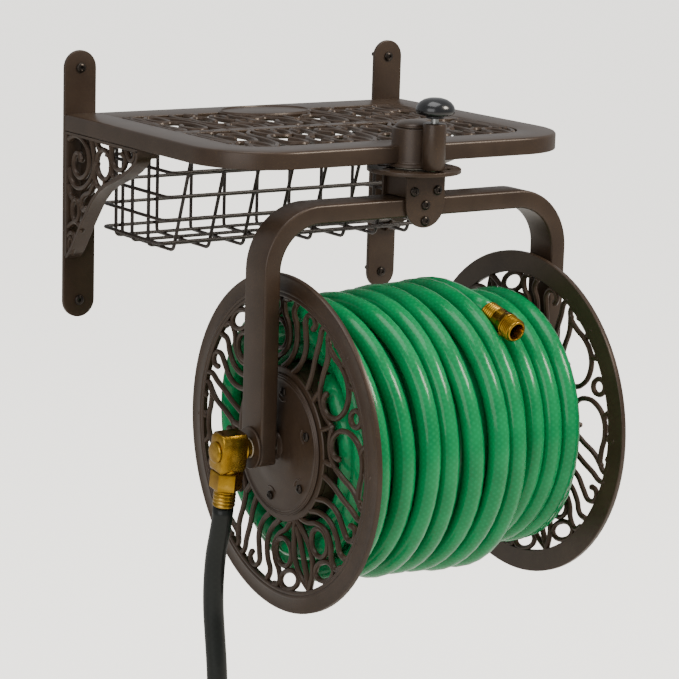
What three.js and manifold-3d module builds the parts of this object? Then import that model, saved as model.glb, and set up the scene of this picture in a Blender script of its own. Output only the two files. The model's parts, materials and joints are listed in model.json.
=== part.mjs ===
// A wall-mounted garden hose reel: a scroll shelf on two wall bars, a wire basket under it, and a
// yoke that swivels below the shelf's front edge and carries the reel.
// Millimetres. +X is right, the wall is the plane y = 0, everything else is at -Y, and +Z is up.
// The origin is on the wall, in the middle of the four wall screws.
import * as THREE from "three";
import { mergeVertices } from "three/addons/utils/BufferGeometryUtils.js";
import Module from "manifold-3d";

const wasm = await Module();
wasm.setup();

// ---- driving dimensions ----
const gap = 0.3; // clearance between pieces that touch

const studSpacing = 406.4; // 16 in between the middles of two wall studs
const bar = { width: 38, thick: 5, length: 294, screwInset: 19 };
const wallScrew = { headR: 5.5, headH: 3, shankR: 2.6, reach: 32 };

const shelf = {
  topZ: 78.5,
  lip: 18,
  wall: 4,
  plate: 4,
  frontY: -350,
  cornerR: 80,
  border: 42,
  rearBorder: 46,
};
const shelfHalf = (studSpacing + bar.width) / 2;
const bracket = { plate: 7, flangeWidth: 18, flange: 4, depth: 164, drop: 141, toe: 11, toeTab: 8 };

const wireR = 2;
const basket = {
  sideGap: 47.2, // from the shelf's edge
  rearY: -8,
  frontTopY: -169,
  frontFloorY: -126,
  rimZ: 70,
  floorZ: -57,
  rows: [32, 5, -21, -47],
  wires: 8,
  sideWires: [-30, -66, -101],
};

const pivotY = shelf.frontY + 5; // the swivel's upright axis, just inside the shelf's front edge
const post = { r: 24, topZ: 96, baseR: 29, baseH: 3.5, boreR: 14, recessR: 18, bushingTopZ: 84 };
const lockTube = { r: 12, out: 33, topZ: 103.5, boreR: 8, topWall: 3 };
const knob = { capR: 20, capBottomZ: 112, capTopZ: 129.5, collarR: 9.5, collarZ: 108.8, socketTop: 6 };
const lockPin = { stemR: 4, bodyR: 7.7, bodyZ: 62, shoulderZ: 76, tipR: 4.6, tipZ: 55.1 };
const spring = { r: 6.1, wireR: 0.9, turns: 6 };

const indexPlate = { r: 48.5, topZ: 54.5, thick: 4, holes: 8, holeR: 5.2, belowPost: 2 };
const washer = { r: 22, thick: 1.4 };
const swivelShaftR = 8;
const swivelNut = { r: 12, h: 7.6 };

const tube = { across: 19, deep: 38, wall: 2 }; // the yoke's rectangular tube
const yoke = { halfWidth: 180, topZ: 25.5, bottomZ: -237, outerR: 65 };
const clevis = { plate: 3, halfWidth: 24, web: 3.7, noseZ: 19 };
const clevisTopZ = indexPlate.topZ - indexPlate.thick - gap;
const block = { halfWidth: 20, lowZ: yoke.topZ + 0.8 };
const clevisScrew = { headR: 5, headH: 2.8, shankR: 3 };
const clevisScrews = { upper_left: [-14.5, 33], upper_right: [14.5, 33], middle: [0, 18.5], lower: [0, 2] };
const legOuterX = yoke.halfWidth + tube.across / 2;
const legInnerX = yoke.halfWidth - tube.across / 2;

const axleZ = -219;
const reelSideGap = 18.5; // between a leg and the middle of the disc beside it
const disc = { r: 174, rim: 23, thick: 6, rimThick: 8, boreR: 44, innerR: 80, sectors: 8 };
const discX = legInnerX - reelSideGap;
const hub = { r: 73, boltCircleR: 57, bolts: 6, firstBolt: 10, rise: 9, boltRise: 6.4, boss: 6.5 };
const hubBolt = { headR: 4.6, headH: 2.8, shankR: 2.5, length: 12 };
const drum = { r: 80, wall: 2 };
const axleR = 8;
const inlet = { boreR: 5.5, inside: 32 };
const axleBushing = { r: axleR + 2.5, flangeR: axleR + 6, flange: 2 };
const legPlate = { r: 21.5, thick: 3 };
const legFaceX = legOuterX + gap + legPlate.thick;

const crank = { armThick: 6, armWidth: 26, reach: 130 };
const crankArmX = legFaceX + 0.7;
const crankNut = { r: axleR + 3.4, h: 9 };
const grip = { r: 14.5, length: 82, boltR: 4, headR: 7, headH: 5 };

const elbow = { halfX: 15, halfY: 13, upZ: 19, downZ: 21, lean: 8, neckR: axleR + 1.5, waterR: 5 };
const elbowX = -legFaceX - 7.2 - elbow.halfX;
const inletEndX = elbowX + 2;
const inletCap = { r: 11, h: 3 };
const leaderNut = { r: 16.5, h: 19, hole: 9.6 };
const ferrule = { r: 11.6, h: 19 };

const leaderR = 10.6; // a five-eighths bore hose
const leaderCoil = { midR: 90, z: -606, y: -47.5, turns: 2, pitch: 22, tail: 62 };
const wound = { innerR: 82, outerR: 149, lowR: 132, sideGap: 2.5, step: 116 };
const coupling = { r: 13, length: 30, ferruleR: 11.8, ferruleLength: 17, boreR: 8.5 };
// The wound hose's end: its place round the drum, its lean towards +X and how far it springs up, in degrees.
const hoseEnd = { x: 53.7, angle: 26.8, lean: 2.25, lift: 11.7 };

// ---- materials ----
function finish(color, roughness, metalness) {
  return new THREE.MeshStandardMaterial({ color, roughness, metalness });
}
const bronze = finish(0x4d4237, 0.42, 0.5);
const blackWire = finish(0x2a211e, 0.5, 0.4);
const blackPlastic = finish(0x17161a, 0.22, 0);
const steel = finish(0x8d8a84, 0.35, 1);
const darkSteel = finish(0x2c2722, 0.4, 0.8);
const nylon = finish(0xd9d4c6, 0.6, 0);
const brass = finish(0xb8901f, 0.28, 1);
const greenHose = finish(0x089a68, 0.42, 0);
const darkHose = finish(0x2c3531, 0.55, 0);
const gripRubber = finish(0x1d1c1c, 0.6, 0);

// ---- solids ----
function solid(geometry) {
  const bare = geometry.index ? geometry.toNonIndexed() : geometry.clone();
  bare.deleteAttribute("normal");
  bare.deleteAttribute("uv");
  const merged = mergeVertices(bare, 1e-4);
  return new wasm.Manifold(
    new wasm.Mesh({
      numProp: 3,
      vertProperties: merged.attributes.position.array,
      triVerts: new Uint32Array(merged.index.array),
    }),
  );
}

function geometryOf(body) {
  const mesh = body.getMesh();
  const geometry = new THREE.BufferGeometry();
  geometry.setAttribute("position", new THREE.BufferAttribute(mesh.vertProperties, 3));
  geometry.setIndex(new THREE.BufferAttribute(mesh.triVerts, 1));
  const flat = geometry.toNonIndexed();
  flat.computeVertexNormals();
  return flat;
}

function join(bodies) {
  return bodies.reduce((a, b) => a.add(b));
}

function cut(body, tools) {
  return tools.reduce((a, b) => a.subtract(b), body);
}

function box(x, y, z) {
  const geometry = new THREE.BoxGeometry(x[1] - x[0], y[1] - y[0], z[1] - z[0]);
  geometry.translate((x[0] + x[1]) / 2, (y[0] + y[1]) / 2, (z[0] + z[1]) / 2);
  return solid(geometry);
}

// A round bar from a to b; sides = 4 makes a square bar that lies flat.
function rod(a, b, r, sides = 20) {
  const from = new THREE.Vector3(...a);
  const along = new THREE.Vector3(...b).sub(from);
  const start = sides === 4 ? Math.PI / 4 : 0;
  const geometry = new THREE.CylinderGeometry(r, r, along.length(), sides, 1, false, start);
  geometry.translate(0, along.length() / 2, 0);
  const turn = new THREE.Quaternion().setFromUnitVectors(new THREE.Vector3(0, 1, 0), along.normalize());
  geometry.applyQuaternion(turn);
  geometry.translate(from.x, from.y, from.z);
  return solid(geometry);
}

// A turned piece: profile is [radius, height] from the bottom up, starting and ending on the axis
// or closing on itself.
function turned(profile, sides = 32) {
  const points = profile.map(([r, h]) => new THREE.Vector2(r, h));
  return new THREE.LatheGeometry(points, sides);
}

// Turns a piece made along +Z or +Y so that it lies along +X.
function alongX(geometry) {
  return geometry.rotateZ(-Math.PI / 2);
}

// A flat shape in X and Z, given depth towards -Y from y = 0.
function plateXZ(shape, depth, curveSegments = 10) {
  const geometry = new THREE.ExtrudeGeometry(shape, { depth, bevelEnabled: false, curveSegments });
  return geometry.rotateX(Math.PI / 2);
}

// A flat shape in Y and Z, given depth towards +X from x = 0.
function plateYZ(shape, depth, curveSegments = 10) {
  const geometry = new THREE.ExtrudeGeometry(shape, { depth, bevelEnabled: false, curveSegments });
  return geometry.rotateX(Math.PI / 2).rotateZ(Math.PI / 2);
}

function addNode(group, name, body, material) {
  const geometry = body.isBufferGeometry ? body : geometryOf(body);
  const mesh = new THREE.Mesh(geometry, material);
  mesh.name = name;
  group.add(mesh);
  return mesh;
}

function circle(path, x, y, r) {
  path.absarc(x, y, r, 0, Math.PI * 2, false);
  return path;
}

// ---- wall bars and their screws ----
const screwZ = bar.length / 2 - bar.screwInset;
const sides = { left: -1, right: 1 };

function wallBar() {
  const r = bar.width / 2;
  const straight = bar.length / 2 - r;
  const shape = new THREE.Shape();
  shape.absarc(0, straight, r, 0, Math.PI, false);
  shape.absarc(0, -straight, r, Math.PI, 2 * Math.PI, false);
  for (const z of [screwZ, -screwZ]) {
    shape.holes.push(circle(new THREE.Path(), 0, z, wallScrew.shankR + gap));
  }
  return plateXZ(shape, bar.thick, 6);
}

function panHead(headR, headH, shankR, length) {
  return turned(
    [
      [0, -length],
      [shankR, -length],
      [shankR, 0],
      [headR, 0],
      [headR, headH * 0.5],
      [headR * 0.6, headH],
      [0, headH],
    ],
    8,
  );
}

// ---- shelf ----
const shelfRearY = -bar.thick - gap;

// The shelf's outline, inset from its edge by the border given for the sides and front and the rear.
function shelfOutline(target, inset, rearInset) {
  const half = shelfHalf - inset;
  const front = shelf.frontY + inset;
  const rear = shelfRearY - rearInset;
  const r = Math.max(shelf.cornerR - inset, 12);
  target.moveTo(-half, rear);
  target.lineTo(-half, front + r);
  target.absarc(-half + r, front + r, r, Math.PI, 1.5 * Math.PI, false);
  target.absarc(half - r, front + r, r, 1.5 * Math.PI, 2 * Math.PI, false);
  target.lineTo(half, rear);
  target.closePath();
  return target;
}

// A slot with round ends, leaning by angle.
function slot(x, y, halfLength, r, angle) {
  const path = new THREE.Path();
  const dx = Math.cos(angle) * halfLength;
  const dy = Math.sin(angle) * halfLength;
  path.absarc(x + dx, y + dy, r, angle - Math.PI / 2, angle + Math.PI / 2, false);
  path.absarc(x - dx, y - dy, r, angle + Math.PI / 2, angle + 1.5 * Math.PI, false);
  path.closePath();
  return path;
}

// The pierced field: mirrored rows of round and leaning openings, with a plain oval at the rear.
function shelfOpenings() {
  const field = {
    left: -shelfHalf + shelf.border,
    rear: shelfRearY - shelf.rearBorder,
    front: shelf.frontY + shelf.border,
  };
  const columns = 4;
  const step = -field.left / columns;
  const depth = (field.rear - field.front) / 5;
  const r = Math.min(step, depth) * 0.34;
  const openings = [];
  for (let row = 0; row < 5; row++) {
    const y = field.rear - depth * (row + 0.5);
    for (let column = 0; column < columns; column++) {
      const x = step * (column + 0.5);
      const beforeOval = row === 0 && column < 2;
      const corner = row === 4 && column === columns - 1;
      const atPost = row === 4 && column === 0;
      if (beforeOval || corner || atPost) continue;
      const lean = (row + column) % 2 ? 0.7 : -0.7;
      for (const side of [-1, 1]) {
        openings.push(slot(side * x, y, r * 0.45, r, side * lean));
      }
    }
  }
  return openings;
}

// A tray upside down: the lip runs round the sides and the front, and the rear is open.
function shelfBody() {
  const outline = shelfOutline(new THREE.Shape(), 0, 0);
  const block = new THREE.ExtrudeGeometry(outline, { depth: shelf.lip, bevelEnabled: false, curveSegments: 5 });
  const room = shelfOutline(new THREE.Shape(), shelf.wall, -bar.thick);
  const under = new THREE.ExtrudeGeometry(room, { depth: shelf.lip, bevelEnabled: false, curveSegments: 5 });
  const lowZ = shelf.topZ - shelf.lip;
  const postRoom = rod([0, pivotY, 0], [0, pivotY, 200], post.r + gap, 24);
  const tubeY = pivotY - lockTube.out;
  const tubeRoom = rod([0, tubeY, 0], [0, tubeY, 200], lockTube.r + gap, 16);
  const cutters = shelfOpenings().map((path) => {
    const opening = new THREE.Shape(path.getPoints(1));
    const geometry = new THREE.ExtrudeGeometry(opening, { depth: 3 * shelf.plate, bevelEnabled: false });
    geometry.translate(0, 0, shelf.topZ - 2 * shelf.plate);
    return solid(geometry);
  });
  const tray = solid(block).translate([0, 0, lowZ]);
  return cut(tray, [solid(under).translate([0, 0, lowZ - shelf.plate]), postRoom, tubeRoom, ...cutters]);
}

// ---- brackets: u is the distance from the wall, z the height ----
const bracketTopZ = shelf.topZ - shelf.lip - gap;

function bracketOutline(inset) {
  const rear = bar.thick + gap + inset;
  const top = bracketTopZ - inset;
  const front = bracket.depth - inset;
  const foot = bracketTopZ - bracket.drop + inset;
  const shape = new THREE.Shape();
  shape.moveTo(rear, top);
  shape.lineTo(rear, foot + 2);
  shape.quadraticCurveTo(rear + 6, foot - 1, rear + 14 - inset, foot + 10 + inset * 0.4);
  shape.bezierCurveTo(42 - inset, -38, 62 - inset, -8 + inset * 0.5, 97 - inset * 0.7, 12 + inset);
  shape.bezierCurveTo(122 - inset, 22 + inset, 150 - inset * 0.6, 32 + inset, front - 1, 50);
  shape.quadraticCurveTo(front, 53, front, 56);
  shape.lineTo(front, top);
  shape.closePath();
  return shape;
}

function bracketBody(side) {
  const full = bracketOutline(0);
  const inner = bracketOutline(bracket.flange);
  const wide = solid(plateYZ(mirrorY(full), bracket.flangeWidth));
  const hollow = solid(plateYZ(mirrorY(inner), bracket.flangeWidth)).translate([bracket.plate, 0, 0]);
  const openings = [
    [28, 22, 13], [28, -10, 9], [26, -38, 5.5],
    [62, 32, 14], [58, 4, 8.5], [97, 33, 11], [125, 41, 7],
  ].map(([u, z, r]) => rod([-1, -u, z], [bracket.flangeWidth + 1, -u, z], r, 8));
  const toeTab = box(
    [bracket.flangeWidth - 1, bracket.flangeWidth + bracket.toeTab],
    [-bracket.depth, -bracket.depth + bracket.flangeWidth],
    [bracketTopZ - bracket.toe, bracketTopZ],
  );
  const body = join([cut(wide, [hollow, ...openings]), toeTab]).translate([-shelfHalf, 0, 0]);
  return side < 0 ? body : body.mirror([1, 0, 0]);
}

// The outlines are drawn with y as the distance from the wall; the wall is at +Y of the piece.
function mirrorY(shape) {
  const points = shape.getPoints(5).map((p) => new THREE.Vector2(-p.x, p.y));
  return new THREE.Shape(points.reverse());
}

// ---- wire basket ----
// A bent wire, drawn square: straight runs that pass each other by half the wire at the bends.
function wire(points) {
  const at = points.map((p) => new THREE.Vector3(...p));
  const last = at.length - 2;
  const half = wireR * 0.9;
  return join(
    at.slice(1).map((to, i) => {
      const along = to.clone().sub(at[i]).setLength(half * 0.7);
      const start = i > 0 ? at[i].clone().sub(along) : at[i];
      const end = i < last ? to.clone().add(along) : to;
      return rod(start.toArray(), end.toArray(), half * Math.SQRT2, 4);
    }),
  );
}

function frontY(z) {
  const share = (z - basket.floorZ) / (basket.rimZ - basket.floorZ);
  return basket.frontFloorY + (basket.frontTopY - basket.frontFloorY) * share;
}

function basketBody() {
  const bite = 2 * wireR - 0.7; // how far apart two crossing wires' middles are, so that they are welded
  const { rearY, rimZ, floorZ, wires } = basket;
  const halfWidth = shelfHalf - basket.sideGap;
  const pitch = (2 * halfWidth) / wires;
  const parts = [];
  for (const z of [rimZ, ...basket.rows]) {
    const front = frontY(z);
    const ring = [[-halfWidth, rearY, z], [halfWidth, rearY, z], [halfWidth, front, z], [-halfWidth, front, z]];
    parts.push(wire([...ring, ring[0]]));
  }
  for (let i = 0; i < wires; i++) {
    const x = (i - (wires - 1) / 2) * pitch;
    parts.push(
      wire([
        [x, rearY - bite, rimZ],
        [x, rearY - bite, floorZ],
        [x, frontY(floorZ) + bite, floorZ],
        [x, frontY(rimZ) + bite, rimZ],
      ]),
    );
  }
  for (const y of basket.sideWires) {
    const inner = halfWidth - bite;
    parts.push(
      wire([
        [-inner, y, rimZ],
        [-inner, y, floorZ + bite],
        [inner, y, floorZ + bite],
        [inner, y, rimZ],
      ]),
    );
  }
  return join(parts);
}

// ---- swivel head ----
const postBaseZ = indexPlate.topZ + indexPlate.belowPost;

function postBody() {
  const y = -lockTube.out;
  const outer = join([
    rod([0, 0, postBaseZ], [0, 0, post.topZ], post.r, 28),
    rod([0, 0, postBaseZ], [0, 0, postBaseZ + post.baseH], post.baseR, 28),
    rod([0, y, postBaseZ], [0, y, lockTube.topZ], lockTube.r, 16),
  ]);
  return cut(outer, [
    rod([0, 0, postBaseZ - 1], [0, 0, post.topZ], post.boreR, 20),
    rod([0, 0, post.bushingTopZ], [0, 0, post.topZ + 1], post.recessR, 20),
    rod([0, y, postBaseZ - 1], [0, y, lockTube.topZ - lockTube.topWall], lockTube.boreR, 16),
    rod([0, y, 0], [0, y, 200], lockPin.stemR + gap, 12),
  ]);
}

function upright(geometry) {
  return geometry.rotateX(Math.PI / 2);
}

function ring(outerR, innerR, z0, z1) {
  return upright(turned([[innerR, z0], [outerR, z0], [outerR, z1], [innerR, z1], [innerR, z0]], 20));
}

// The cap's plug fills the post's recess, and its dome clears the lock tube beside it.
function swivelCap() {
  const z = post.topZ + gap;
  const domeR = lockTube.out - lockTube.r - gap;
  const plugR = post.recessR * Math.cos(Math.PI / 20) - gap;
  return upright(
    turned(
      [
        [0, z - 3],
        [plugR, z - 3],
        [plugR, z],
        [domeR, z],
        [domeR, z + 1.5],
        [domeR * 0.8, z + 5],
        [domeR * 0.4, z + 6.8],
        [0, z + 7.2],
      ],
      20,
    ),
  );
}

function knobBody() {
  const { capR, capBottomZ, capTopZ, collarR, collarZ, socketTop } = knob;
  const height = capTopZ - capBottomZ;
  const cap = turned(
    [
      [0, collarZ],
      [collarR, collarZ],
      [collarR, capBottomZ - 1],
      [capR * 0.8, capBottomZ],
      [capR, capBottomZ + height * 0.3],
      [capR * 0.78, capBottomZ + height * 0.74],
      [capR * 0.4, capBottomZ + height * 0.96],
      [0, capTopZ],
    ],
    20,
  );
  const socket = rod([0, 0, collarZ - 1], [0, 0, capTopZ - socketTop], lockPin.stemR + gap, 12);
  return cut(solid(upright(cap)), [socket]);
}

function lockPinBody() {
  const { stemR, bodyR, bodyZ, shoulderZ, tipR, tipZ } = lockPin;
  const topZ = knob.capTopZ - knob.socketTop - gap;
  return upright(
    turned(
      [
        [0, tipZ],
        [tipR - 1, tipZ],
        [tipR, tipZ + 1],
        [tipR, bodyZ],
        [bodyR - gap, bodyZ],
        [bodyR - gap, shoulderZ],
        [stemR, shoulderZ],
        [stemR, topZ],
        [0, topZ],
      ],
      12,
    ),
  );
}

class Helix extends THREE.Curve {
  constructor(radius, bottom, top, turns) {
    super();
    Object.assign(this, { radius, bottom, top, turns });
  }
  getPoint(t, target = new THREE.Vector3()) {
    const angle = t * this.turns * Math.PI * 2;
    const z = this.bottom + (this.top - this.bottom) * t;
    return target.set(this.radius * Math.cos(angle), this.radius * Math.sin(angle), z);
  }
}

function springBody() {
  const low = lockPin.shoulderZ + spring.wireR + gap;
  const high = lockTube.topZ - lockTube.topWall - spring.wireR - gap;
  const path = new Helix(spring.r, low, high, spring.turns);
  const section = circle(new THREE.Shape(), 0, 0, spring.wireR);
  return new THREE.ExtrudeGeometry(section, {
    extrudePath: path,
    steps: spring.turns * 7,
    curveSegments: 2,
    bevelEnabled: false,
  });
}

function indexPlateBody() {
  const { r, topZ, thick, holes, holeR } = indexPlate;
  const through = (x, y, radius, n) => rod([x, y, 0], [x, y, 200], radius, n);
  const lockHoles = Array.from({ length: holes }, (_, i) => {
    const angle = -Math.PI / 2 + (i * 2 * Math.PI) / holes;
    return through(Math.cos(angle) * lockTube.out, Math.sin(angle) * lockTube.out, holeR, 8);
  });
  const plate = rod([0, 0, topZ - thick], [0, 0, topZ], r, 32);
  return cut(plate, [through(0, 0, swivelShaftR + gap, 16), ...lockHoles]);
}

const halfDeep = tube.deep / 2;
const plateOuterY = halfDeep + gap + clevis.plate;

const screwHoleR = clevisScrew.shankR + 2 * gap;

function screwHoles(r) {
  return Object.values(clevisScrews).map(([x, z]) => rod([x, -60, z], [x, 60, z], r, 6));
}

function clevisBody() {
  const w = clevis.halfWidth;
  const side = new THREE.Shape();
  side.moveTo(-w, clevisTopZ);
  side.lineTo(-w, clevis.noseZ);
  side.absarc(0, clevis.noseZ, w, Math.PI, 2 * Math.PI, false);
  side.lineTo(w, clevisTopZ);
  side.closePath();
  const front = solid(plateXZ(side, clevis.plate, 6)).translate([0, -halfDeep - gap, 0]);
  const back = solid(plateXZ(side, clevis.plate, 6)).translate([0, plateOuterY, 0]);
  const web = box([-w, w], [-plateOuterY, plateOuterY], [clevisTopZ - clevis.web, clevisTopZ]);
  const shaftHole = rod([0, 0, 0], [0, 0, 100], swivelShaftR + gap, 16);
  return cut(join([front, back, web]), [shaftHole, ...screwHoles(screwHoleR)]);
}

function blockBody() {
  const x = block.halfWidth;
  const body = box([-x, x], [-halfDeep, halfDeep], [block.lowZ, clevisTopZ - clevis.web - gap]);
  const shaftHole = rod([0, 0, 0], [0, 0, 100], swivelShaftR + gap, 16);
  return cut(body, [shaftHole, ...screwHoles(screwHoleR)]);
}

// ---- yoke: an upside-down U of rectangular tube ----
function yokeOutline(inset, openEnd) {
  const half = legOuterX - inset;
  const inner = legInnerX + inset;
  const top = yoke.topZ - inset;
  const under = yoke.topZ - tube.across + inset;
  const low = yoke.bottomZ - openEnd;
  const centreX = legOuterX - yoke.outerR;
  const centreZ = yoke.topZ - yoke.outerR;
  const outerR = yoke.outerR - inset;
  const innerR = yoke.outerR - tube.across + inset;
  const shape = new THREE.Shape();
  shape.moveTo(half, low);
  shape.lineTo(half, centreZ);
  shape.absarc(centreX, centreZ, outerR, 0, Math.PI / 2, false);
  shape.lineTo(-centreX, top);
  shape.absarc(-centreX, centreZ, outerR, Math.PI / 2, Math.PI, false);
  shape.lineTo(-half, low);
  shape.lineTo(-inner, low);
  shape.lineTo(-inner, centreZ);
  shape.absarc(-centreX, centreZ, innerR, Math.PI, Math.PI / 2, true);
  shape.lineTo(centreX, under);
  shape.absarc(centreX, centreZ, innerR, Math.PI / 2, 0, true);
  shape.lineTo(inner, low);
  shape.closePath();
  return shape;
}

function yokeBody() {
  const outside = solid(plateXZ(yokeOutline(0, 0), tube.deep, 4)).translate([0, halfDeep, 0]);
  const inside = solid(plateXZ(yokeOutline(tube.wall, 5), tube.deep - 2 * tube.wall, 4));
  const axleHoles = rod([-300, 0, axleZ], [300, 0, axleZ], axleBushing.r + gap, 16);
  return cut(outside, [
    inside.translate([0, halfDeep - tube.wall, 0]),
    axleHoles,
    ...screwHoles(screwHoleR),
  ]);
}

// ---- reel, drawn about its own axle along X ----
function boltPlaces() {
  return Array.from({ length: hub.bolts }, (_, i) => {
    const angle = THREE.MathUtils.degToRad(hub.firstBolt + (i * 360) / hub.bolts);
    return [-Math.sin(angle) * hub.boltCircleR, Math.cos(angle) * hub.boltCircleR];
  });
}

// A hole along X at the place y, z.
function sideHole(y, z, r, n) {
  return rod([-400, y, z], [400, y, z], r, n);
}

function hubBoltHoles() {
  return boltPlaces().map(([y, z]) => sideHole(y, z, hubBolt.shankR + 2 * gap, 6));
}

function discBody() {
  const half = disc.thick / 2;
  const rimHalf = disc.rimThick / 2;
  const rimInner = disc.r - disc.rim;
  const section = [
    [disc.boreR, -half],
    [rimInner, -half],
    [disc.r, -rimHalf],
    [disc.r, rimHalf],
    [rimInner, half],
    [disc.boreR, half],
    [disc.boreR, -half],
  ];
  const field = rimInner - disc.innerR;
  const middle = disc.innerR + field / 2;
  const openings = [];
  for (let i = 0; i < disc.sectors; i++) {
    const outer = (i * 2 * Math.PI) / disc.sectors;
    const inner = outer + Math.PI / disc.sectors;
    const [outerAt, innerAt] = [middle + field * 0.14, middle - field * 0.2];
    openings.push(sideHole(outerAt * Math.cos(outer), outerAt * Math.sin(outer), field * 0.3, 8));
    openings.push(sideHole(innerAt * Math.cos(inner), innerAt * Math.sin(inner), field * 0.22, 6));
  }
  return cut(solid(alongX(turned(section, 32))), [...openings, ...hubBoltHoles()]);
}

// One hub plate, for the side where x is positive.
function hubBody() {
  const low = discX + disc.thick / 2 + gap;
  const boltFace = discX + hub.boltRise;
  const face = discX + hub.rise;
  const boreR = axleR + gap;
  const bossR = axleR + 7;
  const profile = [
    [boreR, low],
    [hub.r, low],
    [hub.r - 3, boltFace - 1],
    [hub.r - 9, boltFace],
    [hub.boltCircleR - 8, boltFace],
    [bossR + 17, face],
    [bossR, face],
    [bossR, face + hub.boss],
    [boreR, face + hub.boss],
    [boreR, low],
  ];
  return cut(solid(alongX(turned(profile, 28))), hubBoltHoles());
}

function drumBody() {
  const half = discX - disc.thick / 2 - gap;
  const { r, wall } = drum;
  return alongX(turned([[r - wall, -half], [r, -half], [r, half], [r - wall, half], [r - wall, -half]], 28));
}

function woundHose() {
  const { innerR, outerR, lowR, sideGap, step } = wound;
  const half = discX - disc.thick / 2 - sideGap;
  const profile = [
    [innerR, -half],
    [outerR - 6, -half],
    [outerR, -half + 8],
    [outerR, discX - step],
    [lowR, discX - step + 8],
    [lowR - 4, half],
    [innerR, half],
    [innerR, -half],
  ];
  return alongX(turned(profile, 28));
}

// ---- brass fittings ----
function hexNut(r, h, holeR) {
  const shape = new THREE.Shape();
  for (let i = 0; i < 6; i++) {
    const angle = (i * Math.PI) / 3;
    const [x, y] = [r * Math.cos(angle), r * Math.sin(angle)];
    if (i === 0) shape.moveTo(x, y);
    else shape.lineTo(x, y);
  }
  shape.closePath();
  shape.holes.push(circle(new THREE.Path(), 0, 0, holeR));
  return new THREE.ExtrudeGeometry(shape, { depth: h, bevelEnabled: false, curveSegments: 8 });
}

// The elbow is drawn about its own middle; its neck reaches back to the leg along +X.
function elbowBody() {
  const { halfX, halfY, upZ, downZ, neckR, waterR } = elbow;
  const neckEnd = -legFaceX - gap - elbowX;
  const body = box([-halfX, halfX], [-halfY, halfY], [-downZ, upZ]);
  const neck = rod([halfX - 1, 0, 0], [neckEnd, 0, 0], neckR, 16);
  const spigot = rod([0, 0, -downZ - leaderNut.h + 2], [0, 0, -downZ + 1], leaderNut.hole - 2 * gap, 12);
  const tubeRoom = rod([inletEndX - gap - elbowX, 0, 0], [neckEnd + 1, 0, 0], axleR + gap, 16);
  const waterway = rod([0, 0, -downZ - leaderNut.h], [0, 0, 0], waterR, 10);
  return cut(join([body, neck, spigot]), [tubeRoom, waterway]);
}

// A ribbed ferrule from z = 0 up, with a bore.
function ferruleBody(r, h, holeR) {
  const rib = 0.8;
  const ribs = 3;
  const profile = [[holeR, 0]];
  for (let i = 0; i < ribs; i++) {
    profile.push([r - rib, (h * i) / ribs], [r, (h * (i + 0.5)) / ribs]);
  }
  profile.push([r - rib, h], [holeR, h], [holeR, 0]);
  return upright(turned(profile, 16));
}

// A threaded hose end, mouth at z = 0, body towards -Z.
function hoseEndBody({ r, length, boreR }) {
  return upright(
    turned(
      [
        [boreR, -length],
        [r - 1.5, -length],
        [r, -length * 0.66],
        [r, -length * 0.5],
        [r - 1, -length * 0.46],
        [r - 1, -1],
        [r - 2, 0],
        [boreR, 0],
        [boreR, -length],
      ],
      16,
    ),
  );
}

// ---- leader hose: distance from the swivel's axis towards the wall, and height ----
const leaderRoute = [
  [8.4, -279.6],
  [10.9, -294],
  [15.5, -312],
  [20.4, -330],
  [23.3, -350],
  [24.5, -371],
  [23.6, -392],
  [20.8, -412],
  [17.4, -433],
  [14.6, -453],
  [12.9, -474],
  [13.5, -495],
  [17, -513],
];

function leaderHose() {
  const places = leaderRoute.map(([out, z]) => new THREE.Vector3(elbowX, pivotY + out, z));
  return new THREE.ExtrudeGeometry(circle(new THREE.Shape(), 0, 0, leaderR), {
    extrudePath: new THREE.CatmullRomCurve3(places),
    steps: 10,
    curveSegments: 5,
    bevelEnabled: false,
  });
}

// A coil of the rest of the leader: a ring as wide as its turns lie side by side.
function leaderCoilBody() {
  const [low, high] = [-leaderR, leaderR + leaderCoil.turns * leaderCoil.pitch];
  const [inner, outer] = [leaderCoil.midR - leaderR, leaderCoil.midR + leaderR];
  return alongX(turned([[inner, low], [outer, low], [outer, high], [inner, high], [inner, low]], 32));
}

// ---- the assembly ----
const root = new THREE.Group();

for (const [name, side] of Object.entries(sides)) {
  const x = (side * studSpacing) / 2;
  addNode(root, `wall_bar_${name}`, wallBar(), bronze).position.x = x;
  for (const [place, z] of [["top", screwZ], ["bottom", -screwZ]]) {
    const screw = panHead(wallScrew.headR, wallScrew.headH, wallScrew.shankR, wallScrew.reach);
    const mesh = addNode(root, `wall_screw_${name}_${place}`, screw.rotateX(Math.PI), darkSteel);
    mesh.position.set(x, -bar.thick - gap, z);
  }
  addNode(root, `bracket_${name}`, bracketBody(side), bronze);
}
addNode(root, "shelf", shelfBody(), bronze);
addNode(root, "wire_basket", basketBody(), blackWire);

// Everything that stands on the swivel's upright axis is drawn about that axis.
const swivel = new THREE.Group();
swivel.position.y = pivotY;
root.add(swivel);

addNode(swivel, "swivel_post", postBody(), bronze);
addNode(swivel, "swivel_cap", swivelCap(), bronze);
const bushingZ = postBaseZ + gap;
addNode(
  swivel,
  "swivel_bushing",
  ring(post.boreR - 2 * gap, swivelShaftR + gap, bushingZ, post.bushingTopZ),
  nylon,
);
const nutBody = hexNut(swivelNut.r, swivelNut.h, swivelShaftR + gap);
addNode(swivel, "swivel_nut", nutBody, steel).position.z = post.bushingTopZ + gap;

const plunger = new THREE.Group();
plunger.position.y = -lockTube.out;
swivel.add(plunger);
addNode(plunger, "lock_knob", knobBody(), blackPlastic);
addNode(plunger, "lock_pin", lockPinBody(), steel);
addNode(plunger, "lock_spring", springBody(), steel);

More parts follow.
